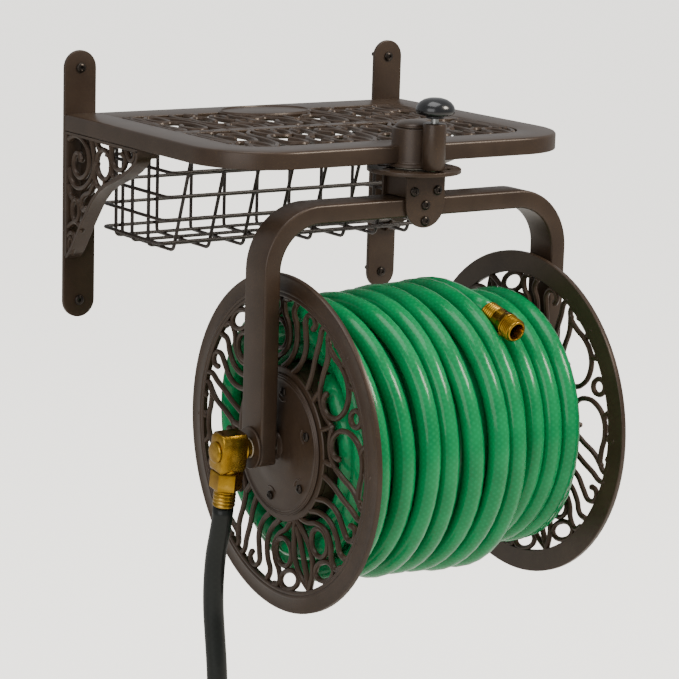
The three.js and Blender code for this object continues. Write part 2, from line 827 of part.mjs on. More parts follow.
addNode(swivel, "index_plate", indexPlateBody(), bronze);
const washerZ = indexPlate.topZ + gap;
addNode(
  swivel,
  "swivel_washer",
  ring(washer.r, swivelShaftR + gap, washerZ, washerZ + washer.thick),
  nylon,
);
const shaftTop = post.bushingTopZ + gap + swivelNut.h + 1;
addNode(swivel, "swivel_shaft", rod([0, 0, block.lowZ + 2], [0, 0, shaftTop], swivelShaftR, 16), steel);
addNode(swivel, "clevis", clevisBody(), bronze);
addNode(swivel, "swivel_block", blockBody(), bronze);
for (const [place, [x, z]] of Object.entries(clevisScrews)) {
  const { headR, headH, shankR } = clevisScrew;
  const screw = panHead(headR, headH, shankR, 2 * plateOuterY + 1).rotateX(Math.PI);
  addNode(swivel, `clevis_screw_${place}`, screw, darkSteel).position.set(x, -plateOuterY - gap, z);
}
addNode(swivel, "yoke", yokeBody(), bronze);

const reel = new THREE.Group();
reel.position.z = axleZ;
swivel.add(reel);

const bushingX = legInnerX - gap - axleBushing.flange;

function axleBushingBody() {
  return turned(
    [
      [axleR + gap, bushingX],
      [axleBushing.flangeR, bushingX],
      [axleBushing.flangeR, legInnerX - gap],
      [axleBushing.r, legInnerX - gap],
      [axleBushing.r, legFaceX],
      [axleR + gap, legFaceX],
      [axleR + gap, bushingX],
    ],
    16,
  );
}

function legPlateBody() {
  const [low, holeR] = [legOuterX + gap, axleBushing.r + gap];
  return turned([[holeR, low], [legPlate.r, low], [legPlate.r, legFaceX - 1], [legPlate.r - 1.5, legFaceX],
    [holeR, legFaceX], [holeR, low]], 24);
}

for (const [name, side] of Object.entries(sides)) {
  const place = (geometry) => alongX(geometry).rotateY(side < 0 ? Math.PI : 0);
  addNode(reel, `axle_bushing_${name}`, place(axleBushingBody()), nylon);
  addNode(reel, `leg_plate_${name}`, place(legPlateBody()), bronze);
  addNode(reel, `hub_plate_${name}`, side < 0 ? hubBody().mirror([1, 0, 0]) : hubBody(), bronze);
  addNode(reel, `reel_disc_${name}`, discBody(), bronze).position.x = side * discX;
}
addNode(reel, "drum", drumBody(), bronze);
boltPlaces().forEach(([y, z], i) => {
  const bolt = panHead(hubBolt.headR, hubBolt.headH, hubBolt.shankR, hubBolt.length).rotateZ(Math.PI / 2);
  addNode(reel, `hub_bolt_${i + 1}`, bolt, darkSteel).position.set(-discX - hub.boltRise - gap, y, z);
});

function inletTube() {
  const { boreR, inside } = inlet;
  const inner = inside - discX;
  return alongX(turned([[boreR, inletEndX], [axleR, inletEndX], [axleR, inner], [boreR, inner],
    [boreR, inletEndX]], 16));
}
addNode(reel, "inlet_tube", inletTube(), brass);
const crankShaftEnd = crankArmX + crank.armThick + gap + crankNut.h + 2;
addNode(reel, "crank_shaft", rod([discX - inlet.inside, 0, 0], [crankShaftEnd, 0, 0], axleR, 16), steel);
addNode(reel, "hose_wound", woundHose(), greenHose);

// The crank arm is drawn along +Y and its grip stands out along +X.
const gripX = crankArmX + crank.armThick + 1;
const gripEndX = gripX + grip.length;

function crankArm() {
  const shape = new THREE.Shape();
  const r = crank.armWidth / 2;
  shape.absarc(0, 0, r, Math.PI / 2, 1.5 * Math.PI, false);
  shape.absarc(crank.reach, 0, r * 0.8, 1.5 * Math.PI, 2.5 * Math.PI, false);
  shape.closePath();
  shape.holes.push(circle(new THREE.Path(), 0, 0, axleR + gap));
  shape.holes.push(circle(new THREE.Path(), crank.reach, 0, grip.boltR + gap));
  return plateYZ(shape, crank.armThick, 8).translate(crankArmX, 0, 0);
}

function gripBody() {
  const { r, length } = grip;
  const hole = grip.boltR + gap;
  return alongX(
    turned(
      [
        [hole, 0],
        [r * 0.75, 0],
        [r * 0.85, length * 0.3],
        [r, length * 0.66],
        [r, length * 0.85],
        [r * 0.6, length],
        [hole, length],
        [hole, 0],
      ],
      16,
    ),
  );
}

function gripBolt() {
  const head = grip.headR;
  return alongX(
    turned(
      [
        [0, crankArmX - 0.4],
        [grip.boltR, crankArmX - 0.4],
        [grip.boltR, gripEndX + gap],
        [head, gripEndX + gap],
        [head, gripEndX + grip.headH * 0.6],
        [head * 0.5, gripEndX + grip.headH],
        [0, gripEndX + grip.headH],
      ],
      12,
    ),
  );
}
addNode(reel, "crank_arm", crankArm(), bronze);
addNode(reel, "grip_bolt", gripBolt(), steel).position.y = crank.reach;
addNode(reel, "crank_grip", gripBody(), gripRubber).position.set(gripX, crank.reach, 0);
const crankNutMesh = addNode(reel, "crank_nut", hexNut(crankNut.r, crankNut.h, axleR + gap), steel);
crankNutMesh.rotation.y = Math.PI / 2;
crankNutMesh.position.x = crankArmX + crank.armThick + gap;

// The wound hose's ferrule starts on the lower layer, and its mouth springs up off the bundle.
const endTurn = THREE.MathUtils.degToRad(hoseEnd.angle);
const endDown = THREE.MathUtils.degToRad(hoseEnd.angle - hoseEnd.lift);
const endLean = THREE.MathUtils.degToRad(hoseEnd.lean);
const endR = wound.lowR + coupling.ferruleR + 4 * gap;
const hoseEndGroup = new THREE.Group();
hoseEndGroup.position.set(hoseEnd.x, -Math.sin(endTurn) * endR, Math.cos(endTurn) * endR);
hoseEndGroup.quaternion.setFromUnitVectors(
  new THREE.Vector3(0, 0, 1),
  new THREE.Vector3(
    Math.sin(endLean),
    -Math.cos(endLean) * Math.cos(endDown),
    -Math.cos(endLean) * Math.sin(endDown),
  ),
);
reel.add(hoseEndGroup);
const endFerrule = () => ferruleBody(coupling.ferruleR, coupling.ferruleLength, coupling.boreR);
addNode(hoseEndGroup, "hose_end_ferrule", endFerrule(), brass);
const couplingMesh = addNode(hoseEndGroup, "hose_end_coupling", hoseEndBody(coupling), brass);
couplingMesh.position.z = coupling.ferruleLength + gap + coupling.length;

// The inlet elbow leans a little towards the wall, as it does under the pull of its hose.
const inletGroup = new THREE.Group();
inletGroup.position.x = elbowX;
inletGroup.rotation.x = THREE.MathUtils.degToRad(elbow.lean);
reel.add(inletGroup);
addNode(inletGroup, "inlet_elbow", elbowBody(), brass);
const capProfile = [[0, 0], [inletCap.r - 1, 0], [inletCap.r, 1], [inletCap.r, inletCap.h], [0, inletCap.h]];
const inletCapMesh = addNode(inletGroup, "inlet_cap", alongX(turned(capProfile, 20)), brass);
inletCapMesh.position.x = -elbow.halfX - gap - inletCap.h;
const leaderNutBody = hexNut(leaderNut.r, leaderNut.h, leaderNut.hole);
const leaderNutMesh = addNode(inletGroup, "leader_nut", leaderNutBody, brass);
leaderNutMesh.position.z = -elbow.downZ - gap - leaderNut.h;
leaderNutMesh.rotation.z = Math.PI / 6;
const leaderFerrule = ferruleBody(ferrule.r, ferrule.h, elbow.waterR);
const ferruleMesh = addNode(inletGroup, "leader_ferrule", leaderFerrule, brass);
ferruleMesh.position.z = -elbow.downZ - 2 * gap - leaderNut.h - ferrule.h;

// ---- leader hose, its coil and its far end, which hangs from the coil's wall side ----
addNode(root, "leader_hose", leaderHose(), darkHose);
const coilMesh = addNode(root, "leader_coil", leaderCoilBody(), darkHose);
coilMesh.position.set(elbowX, pivotY + leaderCoil.y, leaderCoil.z);
const leaderEnd = new THREE.Group();
leaderEnd.position.set(
  elbowX + leaderCoil.turns * leaderCoil.pitch,
  pivotY + leaderCoil.y + leaderCoil.midR,
  leaderCoil.z - leaderCoil.tail,
);
root.add(leaderEnd);
const tailZ = -coupling.ferruleLength - gap;
addNode(leaderEnd, "leader_end_ferrule", ferruleBody(ferrule.r, coupling.ferruleLength, coupling.boreR), brass)
  .position.z = -coupling.ferruleLength;
const tailCoupling = hoseEndBody({ ...coupling, r: ferrule.r + 0.6 }).rotateX(Math.PI);
addNode(leaderEnd, "leader_end_coupling", tailCoupling, brass).position.z = tailZ - coupling.length;

export default root;
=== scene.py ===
# %% [markdown]
# # A wall-mounted hose reel
# This lesson gives a imported CAD model its looks. The CAD nodes hold the sizes and the moving bodies,
# and each piece made here stands for one or more of them. All places are in metres, +Z is up, the
# wall is the plane y = 0, and everything stands out along -Y. Overall sizes and places are read from the
# CAD nodes' own boxes. Profiles, scrolls and the wound hose's lay are given in millimetres, and
# don't follow the model when it changes.

# %% Load the frame
import bpy
import json
import math
from mathutils import Matrix, Vector


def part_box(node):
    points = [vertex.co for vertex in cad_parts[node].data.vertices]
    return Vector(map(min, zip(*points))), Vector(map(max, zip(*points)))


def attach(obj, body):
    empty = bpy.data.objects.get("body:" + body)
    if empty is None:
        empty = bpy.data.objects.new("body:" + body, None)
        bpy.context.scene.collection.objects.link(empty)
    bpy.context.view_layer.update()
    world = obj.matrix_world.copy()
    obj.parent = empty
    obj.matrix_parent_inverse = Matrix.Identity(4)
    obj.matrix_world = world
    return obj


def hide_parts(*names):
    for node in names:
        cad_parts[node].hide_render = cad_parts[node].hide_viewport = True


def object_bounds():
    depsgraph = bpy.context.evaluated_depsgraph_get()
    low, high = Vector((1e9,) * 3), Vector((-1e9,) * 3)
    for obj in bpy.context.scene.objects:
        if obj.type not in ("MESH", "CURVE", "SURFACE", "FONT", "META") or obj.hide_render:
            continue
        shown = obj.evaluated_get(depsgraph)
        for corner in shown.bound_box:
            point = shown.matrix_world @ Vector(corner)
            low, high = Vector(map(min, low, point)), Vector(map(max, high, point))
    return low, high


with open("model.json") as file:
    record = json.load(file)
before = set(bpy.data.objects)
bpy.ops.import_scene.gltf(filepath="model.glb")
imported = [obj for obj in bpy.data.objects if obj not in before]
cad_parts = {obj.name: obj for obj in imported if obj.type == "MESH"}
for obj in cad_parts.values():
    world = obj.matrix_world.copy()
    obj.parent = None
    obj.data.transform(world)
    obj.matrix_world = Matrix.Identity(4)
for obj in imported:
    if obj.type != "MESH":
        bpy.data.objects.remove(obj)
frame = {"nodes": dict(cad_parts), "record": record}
cad_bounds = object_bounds()
MM = 0.001
BODY_OF = {
    node: body for body, nodes in frame["record"]["behaviour"]["bodies"].items() for node in nodes
}

# %% [markdown]
# ## The camera
# The camera comes first, because it decides which stretch of hose may lie out of view. It stands to
# the left of the reel and a little above it, at the eye height of a person a few steps away, with a
# long lens that keeps upright edges nearly parallel. A camera looks along its own -Z, so its matrix is
# built from three directions: right, up and back.

# %% Camera
YAW, PITCH, ROLL = math.radians(34.32), math.radians(12.08), math.radians(-1.77)
EYE = Vector((-1.48767, -2.39871, 0.41434))
ahead = Vector((math.sin(YAW) * math.cos(PITCH), math.cos(YAW) * math.cos(PITCH), -math.sin(PITCH)))
level = Vector((math.cos(YAW), -math.sin(YAW), 0))
below = ahead.cross(level)
right = level * math.cos(ROLL) + below * math.sin(ROLL)
up = level * math.sin(ROLL) - below * math.cos(ROLL)

bpy.ops.object.select_all(action="DESELECT")
bpy.ops.object.camera_add()
camera = bpy.context.object
camera.matrix_world = Matrix(
    [[right[i], up[i], -ahead[i], EYE[i]] for i in range(3)] + [[0, 0, 0, 1]]
)
camera.data.sensor_width = 36
camera.data.lens = 132.35
bpy.context.scene.camera = camera
print("camera stands", round(EYE.length, 2), "m from the wall screws' middle")

# %% [markdown]
# ## Places that the pieces share
# A few middles and half-sizes from them are used again and again: the swivel's upright axis, the
# reel's axle, and the faces of the discs and legs.

# %% Shared places
def middle(node):
    low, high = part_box(node)
    return (low + high) / 2


def half(node):
    low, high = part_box(node)
    return (high - low) / 2


PIVOT = Vector((0, middle("swivel_shaft").y, 0))
AXLE = middle("drum")
DISC_R = half("reel_disc_left").z
DISC_X = middle("reel_disc_right").x
LEG_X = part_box("yoke")[1].x
print("axle at", [round(v, 4) for v in AXLE], "disc radius", round(DISC_R, 4))

# %% [markdown]
# ## Materials
# Each finish starts from what the real one is. One small function adds a node with its settings and
# links, and one turns an sRGB hex colour into the linear values that the shader wants. Patterns read
# Object coordinates, which stay on the piece when its body moves, or the hose's own UV map.

# %% Material helpers
def linear(hex_colour):
    channels = [int(hex_colour[i : i + 2], 16) / 255 for i in (1, 3, 5)]
    return [c / 12.92 if c <= 0.04045 else ((c + 0.055) / 1.055) ** 2.4 for c in channels] + [1]


def node(tree, kind, inputs=None, **settings):
    """Adds a node. inputs maps a socket to a value, or to another node's output to link."""
    made = tree.nodes.new(kind)
    for key, value in settings.items():
        setattr(made, key, value)
    for key, value in (inputs or {}).items():
        if isinstance(value, bpy.types.NodeSocket):
            tree.links.new(value, made.inputs[key])
        else:
            made.inputs[key].default_value = value
    return made


def new_material(name, **shader_inputs):
    material = bpy.data.materials.new(name)
    material.use_nodes = True
    tree = material.node_tree
    tree.nodes.clear()
    shader = node(tree, "ShaderNodeBsdfPrincipled", shader_inputs)
    output = node(tree, "ShaderNodeOutputMaterial")
    tree.links.new(shader.outputs[0], output.inputs[0])
    return material, tree, shader


def ramp(tree, factor, stops):
    """A colour ramp from (place, hex colour) stops."""
    made = node(tree, "ShaderNodeValToRGB", {"Fac": factor})
    ends = made.color_ramp.elements
    for i, (place, colour) in enumerate(stops):
        element = ends[i] if i < 2 else ends.new(place)
        element.position = place
        element.color = linear(colour)
    return made.outputs["Color"]


def noise(tree, spacing, detail=2.0):
    """Noise whose blotches are about spacing metres apart."""
    coordinates = node(tree, "ShaderNodeTexCoord").outputs["Object"]
    inputs = {"Vector": coordinates, "Scale": 1 / spacing, "Detail": detail}
    return node(tree, "ShaderNodeTexNoise", inputs).outputs["Fac"]


def bump(tree, shader, height, distance):
    made = node(tree, "ShaderNodeBump", {"Height": height, "Distance": distance, "Strength": 1.0})
    tree.links.new(made.outputs["Normal"], shader.inputs["Normal"])

# %% [markdown]
# ### Bronze powder coat
# The castings, bars and tube are sprayed with dark bronze powder and baked. It gives a brown that is
# nearly black in shadow, a broad soft sheen, an orange-peel surface with bumps about 1.5 mm apart, and
# fine gold flecks. Real flecks are under 0.2 mm; they are drawn 0.7 mm apart so that they show.

# %% Bronze powder coat
def bronze_powder_coat():
    material, tree, shader = new_material("bronze_powder_coat", Roughness=0.36, Metallic=0.25)
    shader.inputs["Specular IOR Level"].default_value = 0.35
    shader.inputs["Coat Weight"].default_value = 0.08
    shader.inputs["Coat Roughness"].default_value = 0.28
    cloudy = noise(tree, 0.035, 3)
    base = ramp(tree, cloudy, [(0.3, "#33261C"), (0.7, "#3E3025")])
    flecks = ramp(tree, noise(tree, 0.0007, 1), [(0.62, "#000000"), (0.74, "#6A5228")])
    coloured = node(tree, "ShaderNodeMix", {0: 0.35, 6: base, 7: flecks}, data_type="RGBA", blend_type="ADD")
    tree.links.new(coloured.outputs[2], shader.inputs["Base Color"])
    bump(tree, shader, noise(tree, 0.0015), 0.00005)
    return material


BRONZE = bronze_powder_coat()

# %% [markdown]
# ### Wire coating, plastics and steels
# The basket's wire is dipped in a dark brown vinyl, the knob is moulded phenolic with a polished
# skin, the crank grip is soft rubber, the bushings are nylon, and the inner shafts are zinc plated.

# %% Small finishes
def plain_finish(name, low, high, roughness, metallic=0.0, spacing=0.01, relief=0.00002, coat=0.0):
    material, tree, shader = new_material(name, Roughness=roughness, Metallic=metallic)
    shader.inputs["Coat Weight"].default_value = coat
    shader.inputs["Coat Roughness"].default_value = 0.05
    cloudy = noise(tree, spacing, 4)
    tree.links.new(ramp(tree, cloudy, [(0.35, low), (0.65, high)]), shader.inputs["Base Color"])
    bump(tree, shader, noise(tree, spacing / 8), relief)
    return material


WIRE_VINYL = plain_finish("wire_vinyl", "#241C18", "#302620", 0.42)
POLISHED_PHENOLIC = plain_finish("polished_phenolic", "#08080A", "#0C0C0E", 0.24, relief=0.000004, coat=0.3)
SOFT_RUBBER = plain_finish("soft_rubber", "#151515", "#1F1F1F", 0.62, spacing=0.004)
NYLON = plain_finish("nylon", "#CFC8B4", "#DCD6C6", 0.5)
ZINC_PLATE = plain_finish("zinc_plate", "#9A9B98", "#B6B7B4", 0.3, metallic=1.0)
BLACK_OXIDE = plain_finish("black_oxide", "#241F1B", "#342D27", 0.3, metallic=0.75, spacing=0.003)

# %% [markdown]
# ### Brass
# Turned and tumbled brass is a deep yellow metal. Handling dulls it in patches, so its roughness and
# colour wander slowly, and the lathe leaves marks too fine to see.

# %% Brass
def turned_brass():
    material, tree, shader = new_material("turned_brass", Metallic=1.0)
    patches = noise(tree, 0.012, 5)
    colour = ramp(tree, patches, [(0.3, "#7F5D16"), (0.55, "#9A7726"), (0.8, "#BD9844")])
    tree.links.new(colour, shader.inputs["Base Color"])
    rough = node(tree, "ShaderNodeMapRange", {"Value": patches, "To Min": 0.18, "To Max": 0.34})
    tree.links.new(rough.outputs["Result"], shader.inputs["Roughness"])
    bump(tree, shader, noise(tree, 0.0012, 3), 0.00003)
    return material


BRASS = turned_brass()

# %% [markdown]
# ### Hoses
# A garden hose is green vinyl over a braid of thread. The braid shows through as two sets of fine
# lines that cross, about 2.5 mm apart, with a soft gloss over them. The tube made below has a UV map
# in metres, u round the hose and v along it, so two wave textures turned 52 degrees each way draw it.

# %% Hose materials
def braided_vinyl(name, deep, body, light, roughness, line_spacing, line_depth):
    material, tree, shader = new_material(name, Roughness=roughness)
    shader.inputs["Specular IOR Level"].default_value = 0.2
    shader.inputs["Coat Weight"].default_value = 0.22
    shader.inputs["Coat Roughness"].default_value = 0.08
    skin = node(tree, "ShaderNodeUVMap", uv_map="skin").outputs["UV"]
    lines = []
    for turn in (1, -1):
        turned_to = node(
            tree, "ShaderNodeMapping", {"Vector": skin, "Rotation": (0, 0, turn * math.radians(52))}
        )
        wave = node(
            tree,
            "ShaderNodeTexWave",
            {"Vector": turned_to.outputs[0], "Scale": 1 / (line_spacing * 2 * math.pi), "Distortion": 0.4},
        )
        lines.append(wave.outputs["Fac"])
    braid = node(tree, "ShaderNodeMath", {0: lines[0], 1: lines[1]}, operation="MULTIPLY").outputs[0]
    cloudy = noise(tree, 0.03, 3)
    base = ramp(tree, cloudy, [(0.3, deep), (0.7, body)])
    coloured = node(tree, "ShaderNodeMix", {0: braid, 6: base, 7: linear(light)}, data_type="RGBA")
    softened = node(tree, "ShaderNodeMix", {0: 0.3, 6: base, 7: coloured.outputs[2]}, data_type="RGBA")
    tree.links.new(softened.outputs[2], shader.inputs["Base Color"])
    bump(tree, shader, braid, line_depth)
    return material


GREEN_VINYL = braided_vinyl("green_vinyl", "#00753F", "#00864B", "#08A063", 0.26, 0.0025, 0.00005)
DARK_RUBBER = braided_vinyl("dark_rubber", "#0C100D", "#111512", "#191E1A", 0.48, 0.003, 0.00002)

# %% [markdown]
# ## Hose, made along a path
# A hose is a round section carried along a smooth line. The section must not twist as it goes, so
# each ring's frame is the last one turned only as much as the path turns. The tube carries its own UV
# map in metres, which the braid follows, and closed ends.

# %% Hose tube
def smooth_path(points, spacing):
    """Points a spacing apart along a smooth curve through the given points."""
    at = [Vector(p) for p in points]
    at = [2 * at[0] - at[1]] + at + [2 * at[-1] - at[-2]]
    path = []
    for p0, p1, p2, p3 in zip(at, at[1:], at[2:], at[3:]):
        steps = max(1, round((p2 - p1).length / spacing))
        for i in range(steps):
            t = i / steps
            bend = (2 * p0 - 5 * p1 + 4 * p2 - p3) * t**2
            path.append(0.5 * (2 * p1 + (p2 - p0) * t + bend + (3 * p1 - p0 - 3 * p2 + p3) * t**3))
    return path + [at[-2]]


def path_length(path):
    return sum((b - a).length for a, b in zip(path, path[1:]))


def hose_tube(name, path, radius, sides=16):
    verts, faces, uvs = [], [], []
    across = (path[1] - path[0]).orthogonal().normalized()
    walked = 0
    for i, point in enumerate(path):
        before, after = path[max(i - 1, 0)], path[min(i + 1, len(path) - 1)]
        along = (after - before).normalized()
        across = (across - along * across.dot(along)).normalized()
        side = along.cross(across)
        walked += (point - path[max(i - 1, 0)]).length
        for k in range(sides):
            angle = 2 * math.pi * k / sides
            verts.append(point + (across * math.cos(angle) + side * math.sin(angle)) * radius)
        uvs.append(walked)
    for i in range(len(path) - 1):
        for k in range(sides):
            a, b = i * sides + k, i * sides + (k + 1) % sides
            faces.append((a, b, b + sides, a + sides))
    last = (len(path) - 1) * sides
    faces.append(tuple(reversed(range(sides))))
    faces.append(tuple(range(last, last + sides)))
    mesh = bpy.data.meshes.new(name)
    mesh.from_pydata(verts, [], faces)
    skin = mesh.uv_layers.new(name="skin")
    round_step = 2 * math.pi * radius / sides
    for face in mesh.polygons[:-2]:
        ring, k = divmod(face.vertices[0], sides)
        corners = [(k, ring), (k + 1, ring), (k + 1, ring + 1), (k, ring + 1)]
        for loop, (u, v) in zip(face.loop_indices, corners):
            skin.data[loop].uv = (u * round_step, uvs[v])
    hose = bpy.data.objects.new(name, mesh)
    bpy.context.scene.collection.objects.link(hose)
    mesh.polygons.foreach_set("use_smooth", [True] * len(mesh.polygons))
    return hose


def finish_piece(piece, material, *nodes, body=None):
    """Gives a piece its finish, sets it on its body and hides the CAD nodes that it stands for."""
    piece.data.materials.clear()
    piece.data.materials.append(material)
    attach(piece, body or BODY_OF[nodes[0]])
    if nodes:
        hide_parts(*nodes)
    return piece

# %% [markdown]
# ### The leader hose
# The leader brings water from a tap to the reel. It leaves the brass ferrule under the elbow, sways
# a little towards the wall and hangs. The rest of it is tied in a coil of two turns, as it is stored
# when no tap is near. Its route repeats the CAD model's points.

# %% Leader hose
ELBOW_X = middle("leader_hose").x
LEADER_R = half("leader_hose").x
leader_route = [
    (8.4, -279.6), (10.9, -294), (15.5, -312), (20.4, -330), (23.3, -350), (24.5, -371),
    (23.6, -392), (20.8, -412), (17.4, -433), (14.6, -453), (12.9, -474), (13.5, -495),
    (17, -513), (23.6, -535), (32, -558), (40, -583),
]
leader_points = [Vector((ELBOW_X, PIVOT.y + out * MM, z * MM)) for out, z in leader_route]

coil_low, coil_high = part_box("leader_coil")
coil_middle = (coil_low + coil_high) / 2
coil_r = (coil_high.z - coil_low.z) / 2 - LEADER_R
coil_shift = coil_high.x - coil_low.x - 2 * LEADER_R
COIL_TURNS = 2
POINTS_A_TURN = 16
for i in range(COIL_TURNS * POINTS_A_TURN + 1):
    angle = -2 * math.pi * i / POINTS_A_TURN
    x = ELBOW_X + coil_shift * i / (COIL_TURNS * POINTS_A_TURN)
    leader_points.append(
        Vector((x, coil_middle.y + coil_r * math.cos(angle), coil_middle.z + coil_r * math.sin(angle)))
    )
tail_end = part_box("leader_end_ferrule")[1].z
tail_start = leader_points[-1]
for share in (0.5, 1):
    z = tail_start.z + (tail_end - tail_start.z) * share
    leader_points.append(Vector((tail_start.x, tail_start.y, z)))

leader_path = smooth_path(leader_points, 0.006)
leader = hose_tube("leader_hose_long", leader_path, LEADER_R, 20)
finish_piece(leader, DARK_RUBBER, "leader_hose", "leader_coil")
print("leader hose", round(path_length(leader_path), 3), "m")

# %% [markdown]
# ### The wound hose
# Nearly twenty-three metres of hose lie on the drum in three layers. The first runs from the left disc
# to the right one, the second runs back, and the third stops short of the right disc. The third lies
# about a diameter outside the second. The second dips into the first beside the left disc and stands
# off it beside the right one, which is not how hose lies, and only the outer layer's place was matched.
# Hand winding is loose: the turns wander, so each turn's place along the drum has a slow wobble. The
# last turn ends in the coupling.

# %% Wound hose
GARDEN_R = 11 * MM
BUNDLE_EDGE = 135.2 * MM
HOSE_LENGTH = 22.86
LAYER_RADII = ((93, 93), (112, 127), (134.5, 148))  # at the left disc and at the right one

END_ANGLE, END_LEAN, END_LIFT = math.radians(26.8), math.radians(2.25), math.radians(11.7)
END_RADIUS = 145 * MM
END_X = 53.7 * MM


def smooth_step(t):
    t = min(max(t, 0), 1)
    return t * t * (3 - 2 * t)


def wound_place(x, radius, turn):
    """A point on the bundle; a whole turn starts at the top and goes by the front."""
    angle = turn * 2 * math.pi
    return Vector((x, AXLE.y - radius * math.sin(angle), AXLE.z + radius * math.cos(angle)))


def wobble(turn, size):
    return size * (0.6 * math.sin(turn * 2.3 + 1.0) + 0.4 * math.sin(turn * 5.1 + 2.0))


def layer_radius(layer, x):
    """The layers lie lower beside the left disc, where they were pulled tight, than on the right."""
    across = (x + BUNDLE_EDGE) / (2 * BUNDLE_EDGE)
    left, right = LAYER_RADII[layer]
    return (left + (right - left) * across) * MM


hose_mouth = AXLE + Vector((END_X, -END_RADIUS * math.sin(END_ANGLE), END_RADIUS * math.cos(END_ANGLE)))
end_along = Vector((
    math.sin(END_LEAN),
    -math.cos(END_LEAN) * math.cos(END_ANGLE - END_LIFT),
    -math.cos(END_LEAN) * math.sin(END_ANGLE - END_LIFT),
))
TOP_TURNS = 7.15
TOP_MEAN_R, MIDDLE_MEAN_R, FIRST_R = 139.5, 119.5, 93
LENGTH_TRIM = 0.02  # brings the drawn path near HOSE_LENGTH
top_length = TOP_TURNS * 2 * math.pi * TOP_MEAN_R * MM
LOWER_TURNS = (HOSE_LENGTH - LENGTH_TRIM - top_length) / (2 * math.pi * (FIRST_R + MIDDLE_MEAN_R) * MM)
runs = [
    (LOWER_TURNS, -BUNDLE_EDGE, BUNDLE_EDGE), (LOWER_TURNS, BUNDLE_EDGE, -BUNDLE_EDGE),
    (TOP_TURNS, -BUNDLE_EDGE, 48 * MM),
]
STEPS_A_TURN = 24
CLIMB = 0.4
turn_at_end = END_ANGLE / (2 * math.pi)
turn = turn_at_end - sum(turns for turns, _, _ in runs)
wound_points = []
for layer, (turns, x_from, x_to) in enumerate(runs):
    steps = round(turns * STEPS_A_TURN)
    for i in range(steps):
        done = i / steps * turns
        across = min(done / (turns - CLIMB), 1)
        x = x_from + (x_to - x_from) * across
        here = turn + done
        calm = min(1, 4 * across, 5 * (1 - across))
        radius = layer_radius(layer, x)
        if layer < 2:
            radius += (layer_radius(layer + 1, x) - radius) * smooth_step((done - turns + CLIMB) / CLIMB)
            x += wobble(here * 2.8, 1.5 * MM) * calm
        else:
            x += wobble(here * 2.8, 5.5 * MM) * calm
            radius += wobble(here * 1.7 + 3, 3.0 * MM) * calm
        wound_points.append(wound_place(x, radius, here))
    turn += turns
wound_points = wound_points[:-2]
for back in (0.075, 0.05, 0.022):
    sag = end_along * -back + Vector((0, -math.sin(END_ANGLE), math.cos(END_ANGLE))) * (-1.6 * back**2)
    wound_points.append(hose_mouth + sag)
wound_points.append(hose_mouth)

wound_path = smooth_path(wound_points, 0.02)
wound_hose = hose_tube("garden_hose", wound_path, GARDEN_R, 20)
finish_piece(wound_hose, GREEN_VINYL, "hose_wound")
print("garden hose", round(path_length(wound_path), 2), "m in", len(wound_path), "rings")

# %% [markdown]
# ## Ways to make a metal piece
# Three ways make nearly all of the metal. `turned` spins a profile round its own upright axis, as a
# lathe or a spun casting would. `flat_piece` cuts a plate from outlines and rounds its edges a little.
# `bars` draws round bars along smooth lines, which is what the scrolls of the castings are. Each ends
# with its doubles merged, its normals facing out and its edges smooth below 40 degrees.

# %% Piece makers
def tidy(piece, place):
    """Merges doubles, places the mesh, leaves the object at the origin and smooths it."""
    bpy.ops.object.select_all(action="DESELECT")
    piece.select_set(True)
    bpy.context.view_layer.objects.active = piece
    piece.data.transform(place)
    bpy.ops.object.mode_set(mode="EDIT")
    bpy.ops.mesh.select_all(action="SELECT")
    bpy.ops.mesh.remove_doubles(threshold=2e-6)
    bpy.ops.mesh.normals_make_consistent(inside=False)
    bpy.ops.object.mode_set(mode="OBJECT")
    bpy.ops.object.shade_smooth_by_angle(angle=math.radians(40))
    return piece


def turned(name, profile, place, steps=48):
    """Spins a profile of (radius, height) points, in millimetres, round the local Z axis."""
    mesh = bpy.data.meshes.new(name)
    points = [(r * MM, 0, h * MM) for r, h in profile]
    mesh.from_pydata(points, [(i, i + 1) for i in range(len(points) - 1)], [])
    piece = bpy.data.objects.new(name, mesh)
    bpy.context.scene.collection.objects.link(piece)
    bpy.ops.object.select_all(action="DESELECT")
    bpy.context.view_layer.objects.active = piece
    piece.select_set(True)
    bpy.ops.object.mode_set(mode="EDIT")
    bpy.ops.mesh.select_all(action="SELECT")
    bpy.ops.mesh.spin(steps=steps, angle=2 * math.pi, center=(0, 0, 0), axis=(0, 0, 1))
    bpy.ops.object.mode_set(mode="OBJECT")
    return tidy(piece, place)


def curve_to_mesh(curve, place):
    drawn = bpy.data.objects.new(curve.name, curve)
    bpy.context.scene.collection.objects.link(drawn)
    bpy.ops.object.select_all(action="DESELECT")
    drawn.select_set(True)
    bpy.context.view_layer.objects.active = drawn
    bpy.ops.object.convert(target="MESH")
    return tidy(bpy.context.object, place)


def flat_piece(name, outlines, thickness, edge, place):
    """A plate from closed outlines in millimetres, middle at height 0; inner outlines are holes."""
    curve = bpy.data.curves.new(name, "CURVE")
    curve.dimensions = "2D"
    curve.fill_mode = "BOTH"
    curve.extrude = (thickness / 2 - edge) * MM
    curve.bevel_depth = edge * MM
    curve.offset = -edge * MM
    curve.bevel_resolution = 2
    for outline in outlines:
        spline = curve.splines.new("POLY")
        spline.points.add(len(outline) - 1)
        for point, (u, v) in zip(spline.points, outline):
            point.co = (u * MM, v * MM, 0, 1)
        spline.use_cyclic_u = True
    return curve_to_mesh(curve, place)


